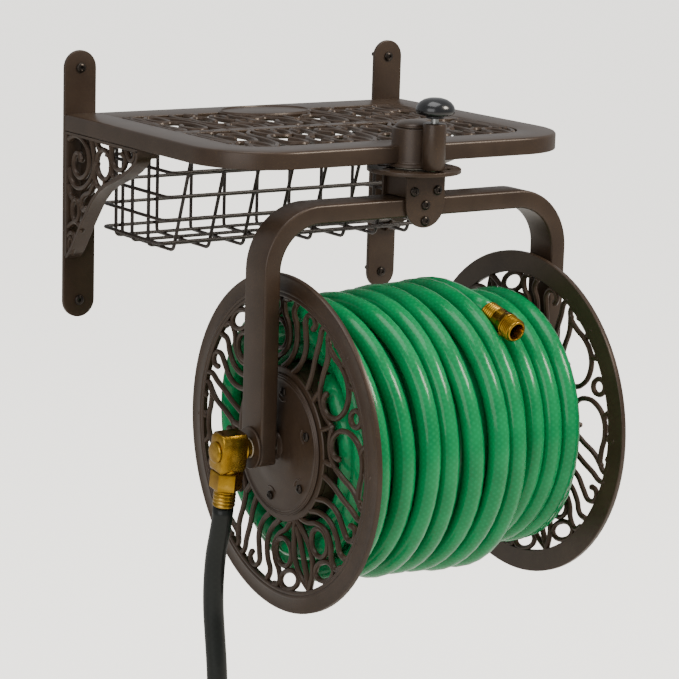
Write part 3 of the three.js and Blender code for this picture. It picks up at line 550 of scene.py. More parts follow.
def bars(name, lines, radius, place, swell=1.25, steps=5):
    """Round bars along smooth lines of (u, v) or (u, v, height). Equal ends close a line."""
    curve = bpy.data.curves.new(name, "CURVE")
    curve.dimensions = "3D"
    curve.bevel_depth = radius * MM
    curve.bevel_resolution = 2
    curve.resolution_u = steps
    curve.use_fill_caps = True
    for line in lines:
        at = [Vector((*point, 0)[:3]) for point in line]
        closed = (at[0] - at[-1]).length < 0.01
        if closed:
            at, sizes = at[:-1], [1] * (len(at) - 1)
        else:
            sizes = [swell] + [1] * (len(at) - 2) + [swell]
            for end, beside in ((0, 1), (-1, -2)):
                tip = at[end] + (at[end] - at[beside]).normalized() * radius * 0.9
                at.insert(0 if end == 0 else len(at), tip)
                sizes.insert(0 if end == 0 else len(sizes), 0.3)
        spline = curve.splines.new("BEZIER")
        spline.bezier_points.add(len(at) - 1)
        for knot, point, size in zip(spline.bezier_points, at, sizes):
            knot.co = point * MM
            knot.handle_left_type = knot.handle_right_type = "AUTO"
            knot.radius = size
        spline.use_cyclic_u = closed
    return curve_to_mesh(curve, place)


def swept(name, path, section, place, closed=False):
    """Carries a closed section of (inward, height) points along a flat path of (u, v, inward u, inward v)."""
    verts, faces = [], []
    for u, v, nu, nv in path:
        verts += [((u + nu * d) * MM, (v + nv * d) * MM, h * MM) for d, h in section]
    n, rings = len(section), len(path)
    for i in range(rings if closed else rings - 1):
        for k in range(n):
            a, b = i * n + k, i * n + (k + 1) % n
            c, d = (b + n) % (rings * n), (a + n) % (rings * n)
            faces.append((a, b, c, d))
    if not closed:
        faces += [tuple(reversed(range(n))), tuple(range((rings - 1) * n, rings * n))]
    mesh = bpy.data.meshes.new(name)
    mesh.from_pydata(verts, [], faces)
    piece = bpy.data.objects.new(name, mesh)
    bpy.context.scene.collection.objects.link(piece)
    return tidy(piece, place)


def join(name, pieces):
    bpy.ops.object.select_all(action="DESELECT")
    for piece in pieces:
        piece.select_set(True)
    bpy.context.view_layer.objects.active = pieces[0]
    bpy.ops.object.join()
    pieces[0].name = pieces[0].data.name = name
    return pieces[0]


def arc(cx, cy, r, start, end, steps=8, ry=None):
    """Points round a circle or, with ry, an ellipse, from one angle in degrees to another."""
    angles = [math.radians(start + (end - start) * i / steps) for i in range(steps + 1)]
    return [(cx + r * math.cos(a), cy + (ry or r) * math.sin(a)) for a in angles]


def oblong(low_u, low_v, high_u, high_v):
    return [(low_u, low_v), (high_u, low_v), (high_u, high_v), (low_u, high_v)]


def mirrored(lines, across=True, down=True):
    """The lines with their mirror images left to right and top to bottom."""
    made = list(lines)
    if across:
        made += [[(-u, v) for u, v in line] for line in made]
    if down:
        made += [[(u, -v) for u, v in line] for line in made]
    return made


def rounded(points, r, steps=5):
    """A path through corner points, each corner rounded to about r."""
    at = [Vector(p) for p in points]
    path = [at[0]]
    for before, corner, after in zip(at, at[1:], at[2:]):
        start = corner + (before - corner).normalized() * r
        end = corner + (after - corner).normalized() * r
        for i in range(steps + 1):
            t = i / steps
            path.append((1 - t) ** 2 * start + 2 * t * (1 - t) * corner + t**2 * end)
    return path + [at[-1]]


def basis(u, v, n, origin):
    """A placing matrix that sends the local axes to u, v and n, in metres from the origin given."""
    return Matrix([[u[i], v[i], n[i], origin[i]] for i in range(3)] + [[0, 0, 0, 1]])


def on_side(side, x, y=AXLE.y, z=AXLE.z):
    """Upright plane facing out along X on one side, -1 for the left; its v is up."""
    return basis((0, side, 0), (0, 0, 1), (side, 0, 0), (x, y, z))


def in_front(y, x=0.0, z=0.0):
    """Upright plane facing out along -Y; u is to the right and v up."""
    return basis((1, 0, 0), (0, 0, 1), (0, -1, 0), (x, y, z))


def on_top(x, y, z=0.0):
    return Matrix.Translation((x, y, z))

# %% [markdown]
# ## Screws
# The screws have low domed heads with a hex socket. The head is turned, and a small hexagonal bar is
# cut out of it. One head of each size is made, and its copies are placed with their own matrices.

# %% Screws
SCREWS = {}


def screw(name, head_r, head_h, shank_r, length, place, *nodes, body=None):
    size = (head_r, head_h, shank_r, length)
    if size not in SCREWS:
        profile = [(0, -length), (shank_r, -length), (shank_r, 0), (head_r, 0)]
        profile += arc(0, head_h * 0.25, head_r, 0, 90, 6, head_h * 0.75)
        head = turned("screw_master", profile, Matrix(), 32)
        socket = flat_piece("socket", [arc(0, 0, head_r * 0.42, 0, 300, 5)], head_h * 1.2, 0.05, Matrix())
        socket.data.transform(Matrix.Translation((0, 0, head_h * MM)))
        cut = head.modifiers.new("socket", "BOOLEAN")
        cut.object, cut.operation, cut.solver = socket, "DIFFERENCE", "EXACT"
        bpy.ops.object.select_all(action="DESELECT")
        bpy.context.view_layer.objects.active = head
        bpy.ops.object.modifier_apply(modifier=cut.name)
        SCREWS[size] = head.data.copy()
        bpy.data.objects.remove(socket)
        bpy.data.objects.remove(head)
    mesh = SCREWS[size].copy()
    mesh.transform(place)
    piece = bpy.data.objects.new(name, mesh)
    bpy.context.scene.collection.objects.link(piece)
    return finish_piece(piece, BLACK_OXIDE, *nodes, body=body)

# %% [markdown]
# ## Wall bars
# Each bar is a flat steel strip with half-round ends, punched for two screws and bent nowhere. Its
# sheared edges are tumbled, so they are rounded by less than a millimetre.

# %% Wall bars
BAR_HALF = half("wall_bar_left")
for side in ("left", "right"):
    at = middle(f"wall_bar_{side}")
    r, straight = BAR_HALF.x / MM, (BAR_HALF.z - BAR_HALF.x) / MM
    outline = arc(0, straight, r, 0, 180, 16) + arc(0, -straight, r, 180, 360, 16)
    strip = flat_piece(f"bar_{side}", [outline], 2 * BAR_HALF.y / MM, 0.8, in_front(at.y, at.x, at.z))
    finish_piece(strip, BRONZE, f"wall_bar_{side}")
    for end in ("top", "bottom"):
        low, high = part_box(f"wall_screw_{side}_{end}")
        face = in_front(low.y + 0.003, at.x, (low.z + high.z) / 2)
        screw(f"screw_{side}_{end}", 5.5, 3, 2.6, 31, face, f"wall_screw_{side}_{end}")
print("two wall bars and four screws")

# %% [markdown]
# ## Brackets
# A bracket is one casting: a flange 18 mm wide runs round the whole outline, and a web of scrolls
# fills it near its outer side. The flange is a strip carried round the outline, and the scrolls are
# round bars that run into it and into each other. Both brackets use the same drawing, with u the
# distance from the wall and v the height.

# %% Brackets
SHELF_LOW, SHELF_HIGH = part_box("shelf")
shelf_half = SHELF_HIGH.x / MM
bracket_curve = [
    (163.8, 58), (163.6, 51), (161, 45.5), (154, 39.5), (145, 33.5), (129, 25), (114, 18.8),
    (97, 12), (81, 3.2), (66, -9.8), (55, -23.4), (44, -37), (35, -49.4), (26, -62), (19, -70.7),
    (11, -78.2), (7.4, -79), (5.5, -77),
]
bracket_outline = [(5.5, 60), (163.8, 60)] + bracket_curve
bracket_scrolls = [
    [(9, 52), (24, 57), (42, 53), (53, 41), (53, 26), (43, 15), (29, 14), (20, 23), (22, 35), (31, 39),
     (37, 32)],
    [(9, 20), (14, 8), (24, 2), (38, 2), (52, 9), (63, 21), (66, 36), (62, 50), (60, 58)],
    arc(87, 34, 15.5, 0, 360, 10),
    [(103, 58), (104, 46), (110, 36), (121, 33), (131, 38), (133, 47), (127, 51)],
    [(103, 34), (106, 26), (114, 23), (122, 26)],
    [(72, 34), (66, 22), (70, 12), (79, 8), (88, 12), (90, 19)],
    [(135, 58), (139, 50), (146, 46), (152, 49), (155, 56)],
    [(66, 10), (57, 0), (46, -4), (38, -12), (42, -21), (51, -18)],
    arc(25, -24, 8, 0, 360, 10, 12),
    [(9, 2), (12, -8), (20, -12)],
    [(9, -44), (16, -40), (25, -37), (34, -40), (38, -45)],
    [(9, -54), (17, -50), (26, -55)],
    arc(15, -64, 4.5, 0, 360, 8, 8),
    [(71, 58), (74, 52), (80, 49)],
]


def edge_path(points):
    """Each point of a closed outline with the direction square to the edge, pointing inward."""
    path = []
    for i, (u, v) in enumerate(points):
        before, after = points[i - 1], points[(i + 1) % len(points)]
        along = Vector((after[0] - before[0], after[1] - before[1])).normalized()
        path.append((u, v, along.y, -along.x))
    return path


for side, sign in (("left", -1), ("right", 1)):
    outer_x = sign * shelf_half
    high_x = max(outer_x, outer_x - sign * 18)
    flange_section = [(0, 0.6), (0.6, 0), (3.4, 0), (4, 0.6), (4, 17.4), (3.4, 18), (0.6, 18), (0, 17.4)]
    place = basis((0, -1, 0), (0, 0, 1), (-1, 0, 0), (high_x * MM, 0, 0))
    flange = swept("flange", edge_path(bracket_outline), flange_section, place, closed=True)
    web = basis((0, -1, 0), (0, 0, 1), (-1, 0, 0), ((outer_x - sign * 4) * MM, 0, 0))
    scrolls = bars("scrolls", bracket_scrolls, 2.9, web, 1.3)
    toe_low, toe_high = sorted((outer_x - sign * 17, outer_x - sign * 26))
    toe = flat_piece("toe", [oblong(toe_low, 49.4, toe_high, 60)], 17, 1.5, in_front(-0.155))
    finish_piece(join(f"scroll_bracket_{side}", [flange, scrolls, toe]), BRONZE, f"bracket_{side}")
print("two brackets with", len(bracket_scrolls), "scrolls each")

# %% [markdown]
# ## Shelf
# The shelf is a shallow tray cast upside down. Its flat border and the lip under it are one section,
# carried round the sides and the front. A plain strip closes the rear, and the field between is
# filled with scrolls that touch each other, with a plain band across its middle. They are a little
# lower than the border. One tile of scrolls is drawn and then flipped from tile to tile, so that lines
# meet at the edges, and the whole field is nearly the same to the left and right.

# %% Shelf
shelf_front, shelf_rear = SHELF_LOW.y / MM, SHELF_HIGH.y / MM
top_z = SHELF_HIGH.z / MM
CORNER_R, BORDER, REAR_BORDER = 80, 42, 46
corner_x, corner_y = shelf_half - CORNER_R, shelf_front + CORNER_R
shelf_edge = [(-shelf_half, shelf_rear, 1, 0)]
for centre_x, start in ((-corner_x, 180), (corner_x, 270)):
    for angle in range(start, start + 91, 6):
        c, s = math.cos(math.radians(angle)), math.sin(math.radians(angle))
        shelf_edge.append((centre_x + CORNER_R * c, corner_y + CORNER_R * s, -c, -s))
shelf_edge.append((shelf_half, shelf_rear, -1, 0))
shelf_section = [
    (0.5, -18), (0, -17.5), (0, -3), (0.5, -1.4), (1.4, -0.5), (3, 0), (40.6, 0), (41.6, -0.4), (42, -1.4),
    (42, -3.4), (41.4, -4), (6, -4), (4, -6), (4, -17.5), (3.5, -18),
]
frame_strip = swept("shelf_frame", shelf_edge, shelf_section, on_top(0, 0, top_z * MM))

field_half = shelf_half - BORDER
field_rear, field_front = shelf_rear - REAR_BORDER, shelf_front + BORDER
rear_strip = flat_piece(
    "rear_strip",
    [oblong(-field_half - 1, field_rear, field_half + 1, shelf_rear)],
    4, 0.6, on_top(0, 0, (top_z - 2) * MM),
)
BAND, OVAL_V, POST_ROOM = 15, -58, 30
TILES_ACROSS, TILES_DEEP = 6, 2
band_v = (field_rear + field_front) / 2
band_plate = flat_piece(
    "band",
    [oblong(-field_half - 1, band_v - BAND / 2, field_half + 1, band_v + BAND / 2)],
    4, 0.6, on_top(0, 0, (top_z - 2.1) * MM),
)
tile_u = 2 * field_half / TILES_ACROSS
tile_v = (field_rear - field_front) / TILES_DEEP
tile_scrolls = [
    [(0.1, 0.15), (-0.06, 0.4), (0.14, 0.66), (0.5, 0.62), (0.72, 0.3), (0.6, -0.1), (0.2, -0.3),
     (-0.3, -0.22), (-0.72, -0.4), (-0.84, -0.7), (-0.6, -0.86), (-0.42, -0.68)],
    [(-1.0, 0.05), (-0.72, 0.1), (-0.44, 0.42), (-0.5, 0.76), (-0.8, 0.76), (-0.84, 0.5)],
    arc(0.06, -0.62, 0.3, 0, 360, 12, 0.32),
    [(1.0, 0.05), (0.94, -0.34), (0.74, -0.64), (0.42, -0.84), (0.3, -1.0)],
    [(0.3, 1.02), (0.1, 0.9), (-0.2, 1.02)],
    [(-0.72, 0.1), (-0.64, -0.14), (-0.72, -0.4)],
    [(0.92, 1.02), (0.94, 0.66), (0.84, 0.4)],
]
grille = []
corner_room = CORNER_R - BORDER
for row in range(TILES_DEEP):
    for column in range(TILES_ACROSS):
        flip_u = -1 if column < TILES_ACROSS / 2 else 1
        flip_u *= 1 if column % 2 else -1
        flip_v = 1 if (row + min(column, TILES_ACROSS - 1 - column)) % 2 else -1
        centre = (-field_half + (column + 0.5) * tile_u, field_rear - (row + 0.5) * tile_v)
        for line in tile_scrolls:
            placed = [
                (centre[0] + flip_u * u * tile_u / 2, centre[1] + flip_v * v * tile_v / 2) for u, v in line
            ]
            kept = [
                (x, y) for x, y in placed
                if math.hypot(max(abs(x) - field_half + corner_room, 0), max(field_front + corner_room - y, 0))
                < corner_room + 1
                and math.hypot(x / 56, (y - OVAL_V) / 37) > 0.97
                and math.hypot(x, y - PIVOT.y / MM) > POST_ROOM
            ]
            if len(kept) == len(placed) or len(kept) >= 3 and line[0] != line[-1]:
                grille.append(kept)
for x in (-field_half + 5, -field_half + 13, field_half - 13, field_half - 5):
    grille.append([(x, field_rear + 1), (x, field_rear - 80), (x, field_front + corner_room)])
grille.append([(0, -92), (0, -106), (0, -120)])
scroll_field = bars("scroll_field", grille, 2.7, on_top(0, 0, (top_z - 2.6) * MM), 1.2, 4)
oval_outline = arc(0, OVAL_V, 57, 0, 354, 59, 38)
oval = flat_piece("oval", [oval_outline], 4.6, 0.8, on_top(0, 0, (top_z - 1.4) * MM))
oval_rim = bars("oval_rim", [arc(0, OVAL_V, 54, 0, 360, 24, 35)], 1.3, on_top(0, 0, top_z * MM + 0.0009))
shelf_parts = [frame_strip, rear_strip, band_plate, scroll_field, oval, oval_rim]
finish_piece(join("scroll_shelf", shelf_parts), BRONZE, "shelf")
print("shelf with", len(grille), "bars")

# %% [markdown]
# ## Wire basket
# The basket is welded from 4 mm wire: closed rings lie level, bent wires run down the back, under the
# floor and up the front, and three more run from side to side. Crossing wires bite into each other by
# less than a millimetre, as resistance welding leaves them.

# %% Wire basket
basket_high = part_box("wire_basket")[1]
WIRE_R = 2
wire_half = basket_high.x / MM - 1.8
rim_z, floor_z = basket_high.z / MM - 1.8, -57
rear_wire_y, bite = -8, 3.3


def basket_front(z):
    return -126 - 43 * (z + 57) / 127


basket_lines = []
for z in (rim_z, 32, 5, -21, -47):
    y = basket_front(z)
    ring = [(-wire_half, rear_wire_y), (wire_half, rear_wire_y), (wire_half, y), (-wire_half, y)]
    loop = rounded([(*p, z) for p in ring[3:] + ring + ring[:1]], 7)[1:-1]
    basket_lines.append(loop + loop[:1])
for i in range(8):
    x = (i - 3.5) * wire_half / 4
    basket_lines.append(rounded([
        (x, rear_wire_y - bite, rim_z), (x, rear_wire_y - bite, floor_z),
        (x, basket_front(floor_z) + bite, floor_z), (x, basket_front(rim_z) + bite, rim_z)], 6))
for y in (-30, -66, -101):
    inner = wire_half - bite
    basket_lines.append(rounded([
        (-inner, y, rim_z), (-inner, y, floor_z + bite), (inner, y, floor_z + bite), (inner, y, rim_z)], 6))


def wire_mesh(name, lines, radius):
    curve = bpy.data.curves.new(name, "CURVE")
    curve.dimensions = "3D"
    curve.bevel_depth = radius * MM
    curve.bevel_resolution = 2
    curve.use_fill_caps = True
    for line in lines:
        closed = (Vector(line[0]) - Vector(line[-1])).length < 0.01
        line = line[:-1] if closed else line
        spline = curve.splines.new("POLY")
        spline.points.add(len(line) - 1)
        for point, place in zip(spline.points, line):
            point.co = (*(Vector(place) * MM), 1)
        spline.use_cyclic_u = closed
    return curve_to_mesh(curve, Matrix())


finish_piece(wire_mesh("basket_of_wire", basket_lines, WIRE_R), WIRE_VINYL, "wire_basket")
print("basket of", len(basket_lines), "wires")

# %% [markdown]
# ## Swivel head
# The post is cast with the shelf's finish and holds the swivel's shaft. The slim tube in front of it
# guides the lock pin, so its bore cuts a little way into the post. Under the post turns the index
# plate, with eight holes for the pin, and the clevis that grips the yoke. Round parts are turned, and
# the clevis is two plates under a web.

# %% Post, cap and knob
at_pivot = on_top(0, PIVOT.y)
tube_y = middle("lock_pin").y
post_profile = [
    (14, 56.5), (28.4, 56.5), (29, 57.1), (29, 59), (28.4, 60), (25.6, 60.6), (24.4, 62), (24, 64),
    (24, 94), (23.6, 95.4), (22.4, 96), (18.2, 96), (18.2, 84), (14, 84), (14, 56.5),
]
tube_profile = [
    (8, 56.5), (11.6, 56.5), (12, 57), (12, 102), (11.6, 103), (10.6, 103.5), (4.4, 103.5), (4.4, 100.5),
    (8, 100.5), (8, 56.5),
]
post = turned("post", post_profile, at_pivot, 64)
cutter = turned("bore", [(0, 50), (7.9, 50), (7.9, 90), (0, 90)], on_top(0, tube_y), 48)
cut = post.modifiers.new("bore", "BOOLEAN")
cut.operation, cut.object, cut.solver = "DIFFERENCE", cutter, "EXACT"
bpy.context.view_layer.objects.active = post
bpy.ops.object.modifier_apply(modifier="bore")
bpy.data.objects.remove(cutter)
lock_tube = turned("lock_tube", tube_profile, on_top(0, tube_y), 48)
finish_piece(join("post_with_lock_tube", [post, lock_tube]), BRONZE, "swivel_post")

cap_profile = [(0, 93.4), (17.4, 93.4), (17.4, 96.3), (20.2, 96.3), (20.6, 96.8), (20.5, 97.6)]
for a in [i * math.pi / 20 for i in range(1, 11)]:
    cap_profile.append((20.2 * math.cos(a), 97.8 + 5.7 * math.sin(a)))
finish_piece(turned("domed_cap", cap_profile, at_pivot, 64), BRONZE, "swivel_cap")

knob_profile = [(0, 108.8), (9, 108.8), (9.5, 109.3), (9.5, 110.6), (10.4, 111.5), (15, 112), (18, 112.8)]
knob_profile += [(19.4, 114.2), (20, 116.6), (19.8, 119), (18.6, 122), (16, 125), (12, 127.6)]
knob_profile += [(7, 129.1), (0, 129.5)]
finish_piece(turned("mushroom_knob", knob_profile, on_top(0, tube_y), 64), POLISHED_PHENOLIC, "lock_knob")

# %% Index plate, clevis and yoke
holes = [
    arc(33 * math.sin(i * math.pi / 4), -33 * math.cos(i * math.pi / 4), 5.2, 0, 345, 23) for i in range(8)
]
plate_low, plate_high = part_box("index_plate")
plate_outline = arc(0, 0, 48.5, 0, 356, 89)
index_plate = flat_piece(
    "index_plate_punched", [plate_outline, arc(0, 0, 8.4, 0, 345, 23)] + holes, 4, 0.5,
    on_top(0, PIVOT.y, (plate_low.z + plate_high.z) / 2),
)
finish_piece(index_plate, BRONZE, "index_plate")

clevis_low, clevis_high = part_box("clevis")
clevis_top = clevis_high.z / MM
nose = [(-24, clevis_top), (-24, 19)] + arc(0, 19, 24, 180, 360, 24)[1:] + [(24, clevis_top)]
cheeks = [
    flat_piece("cheek", [nose], 3, 0.5, in_front(y)) for y in (clevis_low.y + 0.0015, clevis_high.y - 0.0015)
]
web_outline = oblong(-24, -22.3, 24, 22.3)
clevis_web = flat_piece("web", [web_outline], 3.7, 0.5, on_top(0, PIVOT.y, (clevis_top - 1.85) * MM))
finish_piece(join("clevis_plates", cheeks + [clevis_web]), BRONZE, "clevis")
for which, (x, z) in {
    "upper_left": (-14.5, 33), "upper_right": (14.5, 33), "middle": (0, 18.5), "lower": (0, 2),
}.items():
    face = in_front(clevis_low.y - 0.0003, x * MM, z * MM)
    screw(f"button_screw_{which}", 5, 2.8, 3, 44, face, f"clevis_screw_{which}")

# %% [markdown]
# ## Yoke
# The yoke is one length of rectangular steel tube, 38 by 19 mm, bent twice with its wide side square
# to the bend. The corners of its section are rounded as drawn tube is, and so are its feet. The section
# is carried along one leg, round a bend, along the bar, and down again.

# %% Yoke
yoke_low, yoke_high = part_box("yoke")
leg_x, bar_top, leg_foot = yoke_high.x / MM, yoke_high.z / MM, yoke_low.z / MM
BEND_R = 65
bend_x, bend_z = leg_x - BEND_R, bar_top - BEND_R
FOOT_R = 9
foot_steps = [FOOT_R * (1 - math.cos(math.radians(a))) for a in range(0, 91, 15)]
yoke_path = [(leg_x, leg_foot + step, -1, 0) for step in foot_steps]
for centre, start in ((bend_x, 0), (-bend_x, 90)):
    for angle in range(start, start + 91, 5):
        c, s = math.cos(math.radians(angle)), math.sin(math.radians(angle))
        yoke_path.append((centre + BEND_R * c, bend_z + BEND_R * s, -c, -s))
yoke_path += [(-leg_x, leg_foot + step, 1, 0) for step in reversed(foot_steps)]
deep, across, r = 38, 19, 2.6
tube_section = []
wide, tall = across - r, deep / 2 - r
for i, (cu, cv) in enumerate(((wide, tall), (r, tall), (r, -tall), (wide, -tall))):
    tube_section += arc(cu, cv, r, i * 90, i * 90 + 90, 4)
yoke_tube = swept("yoke_tube", yoke_path, tube_section, in_front(PIVOT.y))
for vertex in yoke_tube.data.vertices:
    below = FOOT_R - (vertex.co.z / MM - leg_foot)
    if below > 0:
        room = deep / 2 - FOOT_R + math.sqrt(max(FOOT_R**2 - below**2, 0))
        vertex.co.y = PIVOT.y + min(max(vertex.co.y - PIVOT.y, -room * MM), room * MM)
finish_piece(yoke_tube, BRONZE, "yoke")

for side, sign in (("left", -1), ("right", 1)):
    washer = [(10.9, 0), (20.6, 0), (21.5, 0.8), (21.5, 2.1), (20.8, 2.8), (18.5, 3), (10.9, 3), (10.9, 0)]
    face = on_side(sign, sign * (LEG_X + 0.0003))
    finish_piece(turned(f"leg_washer_{side}", washer, face), BRONZE, f"leg_plate_{side}")
print("swivel head and yoke")

# %% [markdown]
# ## Reel discs
# A disc is cast with a solid rim, a solid ring under the hub plate, and a field of scrolls between
# them. The rim is turned, flat towards the hose, with two fine beads near its inner edge and four
# rivets on the outside. A quarter of the scrolls is drawn, u across and v up from the axle, and mirrored
# into the other three: a pointed lens with ovals beside it, and pairs of C-scrolls at the sides. The
# whole pattern is then turned round the axle.

# %% Reel discs
rim_profile = [
    (151, -2.4), (151, 2.4), (151.6, 3.1), (153, 3.5), (154.4, 3.1), (155.2, 2.5), (156, 3.1), (157.4, 3.4),
    (158.6, 2.9), (159.6, 2.4), (171, 2.5), (172.4, 2.9), (173.5, 2.6), (174, 1.8), (174, -2.2), (173.4, -2.8),
    (151.6, -2.8), (151, -2.2),
]
inner_ring = [(44, -3), (79, -3), (80, -2), (80, 2), (79, 3), (44, 3), (44, -3)]
disc_scrolls = mirrored([
    [(2, -79), (10, -95), (16, -114), (12, -134), (0, -151)],
    [(10, -79), (22, -85), (37, -88), (50, -97), (54, -111), (51, -126), (56, -137), (65, -136)],
    [(30, -74), (47, -79), (62, -91), (68, -108), (68, -122), (76, -129)],
    [(46, -64), (63, -70), (77, -83), (82, -99), (87, -111), (98, -112), (102, -103), (96, -98)],
    [(98, -33), (91, -28), (90, -17), (101, -8), (117, -8), (131, -17), (138, -33), (134, -51), (123, -66),
     (118, -80), (124, -88), (133, -83), (131, -74)],
    [(96, -2), (86, -17), (86, -34), (97, -50), (112, -66), (119, -80)],
    [(66, -44), (79, -56), (91, -71), (103, -84), (112, -95), (121, -97)],
    [(72, -30), (84, -36)],
    [(150, -28), (143, -30), (138, -34)],
    [(150, -58), (143, -60), (139, -53)],
]) + mirrored([
    arc(35, -107, 14.5, 0, 360, 12),
    arc(34, -136, 17, 0, 360, 12, 9.5),
]) + mirrored([arc(141, 0, 9.5, 0, 360, 12, 8), [(79, 0), (90, 0), (98, 0)]], down=False) + [
    [(0, -86), (0, -115), (0, -146)], [(0, 86), (0, 115), (0, 146)],
]
PATTERN_TURN = math.radians(22.5)
HUB_BOLT_R = 57
RIVET_CIRCLE = 157
RIVETS = [(u, v, 2.4) for u, v in arc(0, 0, RIVET_CIRCLE, 64, 334, 3)]
for side, sign in (("left", -1), ("right", 1)):
    face = on_side(sign, sign * DISC_X)
    rim = turned("rim", rim_profile, face, 96)
    ring = turned("ring", inner_ring, face, 96)
    scrolls = bars("scrolls", disc_scrolls, 2.9, face @ Matrix.Rotation(-sign * PATTERN_TURN, 4, "Z"), 1.15, 5)
    dome = [(0, 1.1), (0.9, 1), (1.7, 0.6), (2.1, 0)]
    rivets = [turned("rivet", dome, face @ Matrix.Translation(Vector(at) * MM), 16) for at in RIVETS]
    finish_piece(join(f"scroll_disc_{side}", [rim, ring, scrolls, *rivets]), BRONZE, f"reel_disc_{side}")
print("two discs with", len(disc_scrolls), "scrolls each")

# %% [markdown]
# ## Hub plates, bolts and crank
# The hub plate is spun with three fine ridges round its edge, a dish where the bolts sit, and a round
# boss for the axle. Short curved marks beside the bolts stand proud of the dish.

# %% Hub plates
hub_profile = [
    (8.3, 0.4), (73, 0.4), (73.4, 1.2), (72.6, 2.2), (71.6, 1.8), (70.6, 2.7), (69.4, 2.3), (68.2, 3.2),
    (66.8, 2.9), (64, 3.1), (50, 3.2), (42, 4.2), (34, 5.6), (27, 6), (17.4, 6), (15.6, 6.8), (15, 8.4), (15, 11.6),
    (14.2, 12.5), (8.3, 12.5), (8.3, 0.4),
]
for side, sign in (("left", -1), ("right", 1)):
    face = on_side(sign, sign * (DISC_X + 0.003))
    plate = turned("hub", hub_profile, face, 96)
    marks = []
    for i in range(6):
        angle = 90 + sign * (10 + i * 60)
        bolt_u, bolt_v = arc(0, 0, HUB_BOLT_R, angle, angle, 1)[0]
        marks.append([(u, v, 3.1) for u, v in arc(bolt_u, bolt_v, 9.5, angle + 130, angle + 215, 6)])
    crescents = bars("marks", marks, 1.2, face, 1.0, 3)
    finish_piece(join(f"hub_dish_{side}", [plate, crescents]), BRONZE, f"hub_plate_{side}")
    for i in range(6):
        angle = math.radians(10 + i * 60)
        place = basis(
            (0, sign, 0), (0, 0, 1), (sign, 0, 0),
            (sign * (DISC_X + 0.0067), AXLE.y - 0.057 * math.sin(angle), AXLE.z + 0.057 * math.cos(angle)),
        )
        nodes = [f"hub_bolt_{i + 1}"] if side == "left" else []
        screw(f"hub_screw_{side}_{i + 1}", 4.6, 2.8, 2.5, 11, place, *nodes, body="reel")

# %% Crank
arm_low, arm_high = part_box("crank_arm")
reach = (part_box("grip_bolt")[0].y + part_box("grip_bolt")[1].y) / 2 - AXLE.y
arm_outline = arc(0, 0, 13, 90, 270, 20) + arc(reach / MM, 0, 10.4, 270, 450, 20)
crank_arm = flat_piece("crank_lever", [arm_outline], 6, 1, on_side(1, (arm_low.x + arm_high.x) / 2))
finish_piece(crank_arm, BRONZE, "crank_arm")
nut_low, nut_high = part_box("crank_nut")
crank_nut = flat_piece(
    "crank_hex_nut", [arc(0, 0, 11.4, 0, 300, 5), arc(0, 0, 8.3, 0, 345, 23)], 9, 0.7,
    on_side(1, (nut_low.x + nut_high.x) / 2),
)
finish_piece(crank_nut, ZINC_PLATE, "crank_nut")
grip_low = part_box("crank_grip")[0]
grip_profile = [(4.4, 0), (9.6, 0), (10.8, 1), (11.2, 3), (11.6, 12), (12.6, 30), (14, 50), (14.5, 60)]
grip_profile += [(14.3, 68), (13.2, 75), (11, 79.6), (8, 82), (4.4, 82), (4.4, 0)]
grip_face = on_side(1, grip_low.x, AXLE.y + reach)
finish_piece(turned("turned_grip", grip_profile, grip_face, 48), SOFT_RUBBER, "crank_grip")
bolt_profile = [(0, -7.4), (4, -7.4), (4, 82.3), (6.4, 82.3), (7, 83), (6.6, 85), (5, 86.6)]
bolt_profile += [(2.6, 87.3), (0, 87.3)]
finish_piece(turned("grip_pin", bolt_profile, grip_face, 32), ZINC_PLATE, "grip_bolt")
print("hub plates and crank")

# %% [markdown]
# ## Brass inlet
# The elbow is forged as a block with chamfered edges and turned ends. A round cap closes its outer
# side, its neck runs to the leg, and a hex nut joins the leader's ribbed ferrule below. The whole
# inlet leans 8 degrees towards the wall under the pull of the hose.

# %% Brass inlet
inlet_place = Matrix.Translation((ELBOW_X, AXLE.y, AXLE.z)) @ Matrix.Rotation(math.radians(8), 4, "X")
along_x = basis((0, 1, 0), (0, 0, 1), (1, 0, 0), (0, 0, 0))
block_outline = [(-10, -21), (10, -21), (13, -16), (13, 14), (9, 19), (-9, 19), (-13, 14), (-13, -16)]
block = flat_piece("block", [block_outline], 30, 3, inlet_place @ along_x)
neck_profile = [(8.3, 13), (12, 13), (12.6, 15.5), (11.6, 17.4), (9.5, 17.8), (9.5, 21.9), (8.3, 21.9)]
neck_profile += [(8.3, 13)]
neck = turned("neck", neck_profile, inlet_place @ along_x)
spout_profile = [(5, -38), (9, -38), (9, -24), (11.6, -23.4), (12.4, -21.4), (12, -18), (5, -18), (5, -38)]
spout = turned("spout", spout_profile, inlet_place)
finish_piece(join("forged_elbow", [block, neck, spout]), BRASS, "inlet_elbow")

cap_disc = [(0, -18.3), (8.4, -18.3), (10, -17.9), (11, -16.8), (11, -15.3), (0, -15.3)]
finish_piece(turned("end_cap", cap_disc, inlet_place @ along_x), BRASS, "inlet_cap")

hexagon = arc(0, 0, 16.5, 30, 330, 5)
nut_place = inlet_place @ Matrix.Translation((0, 0, -0.0308))
hex_nut = flat_piece("hex", [hexagon, arc(0, 0, 9.6, 0, 345, 23)], 19, 1.4, nut_place)
finish_piece(hex_nut, BRASS, "leader_nut")


def ferrule_profile(outer, length, bore, ribs, depth=1.0):
    profile = [(bore, 0)]
    pitch = length / ribs
    for i in range(ribs):
        for t, r in ((0.02, outer - depth), (0.3, outer - 0.2), (0.5, outer), (0.7, outer - 0.2)):
            profile.append((r, (i + t) * pitch))
    return profile + [(outer - depth, length), (bore, length), (bore, 0)]


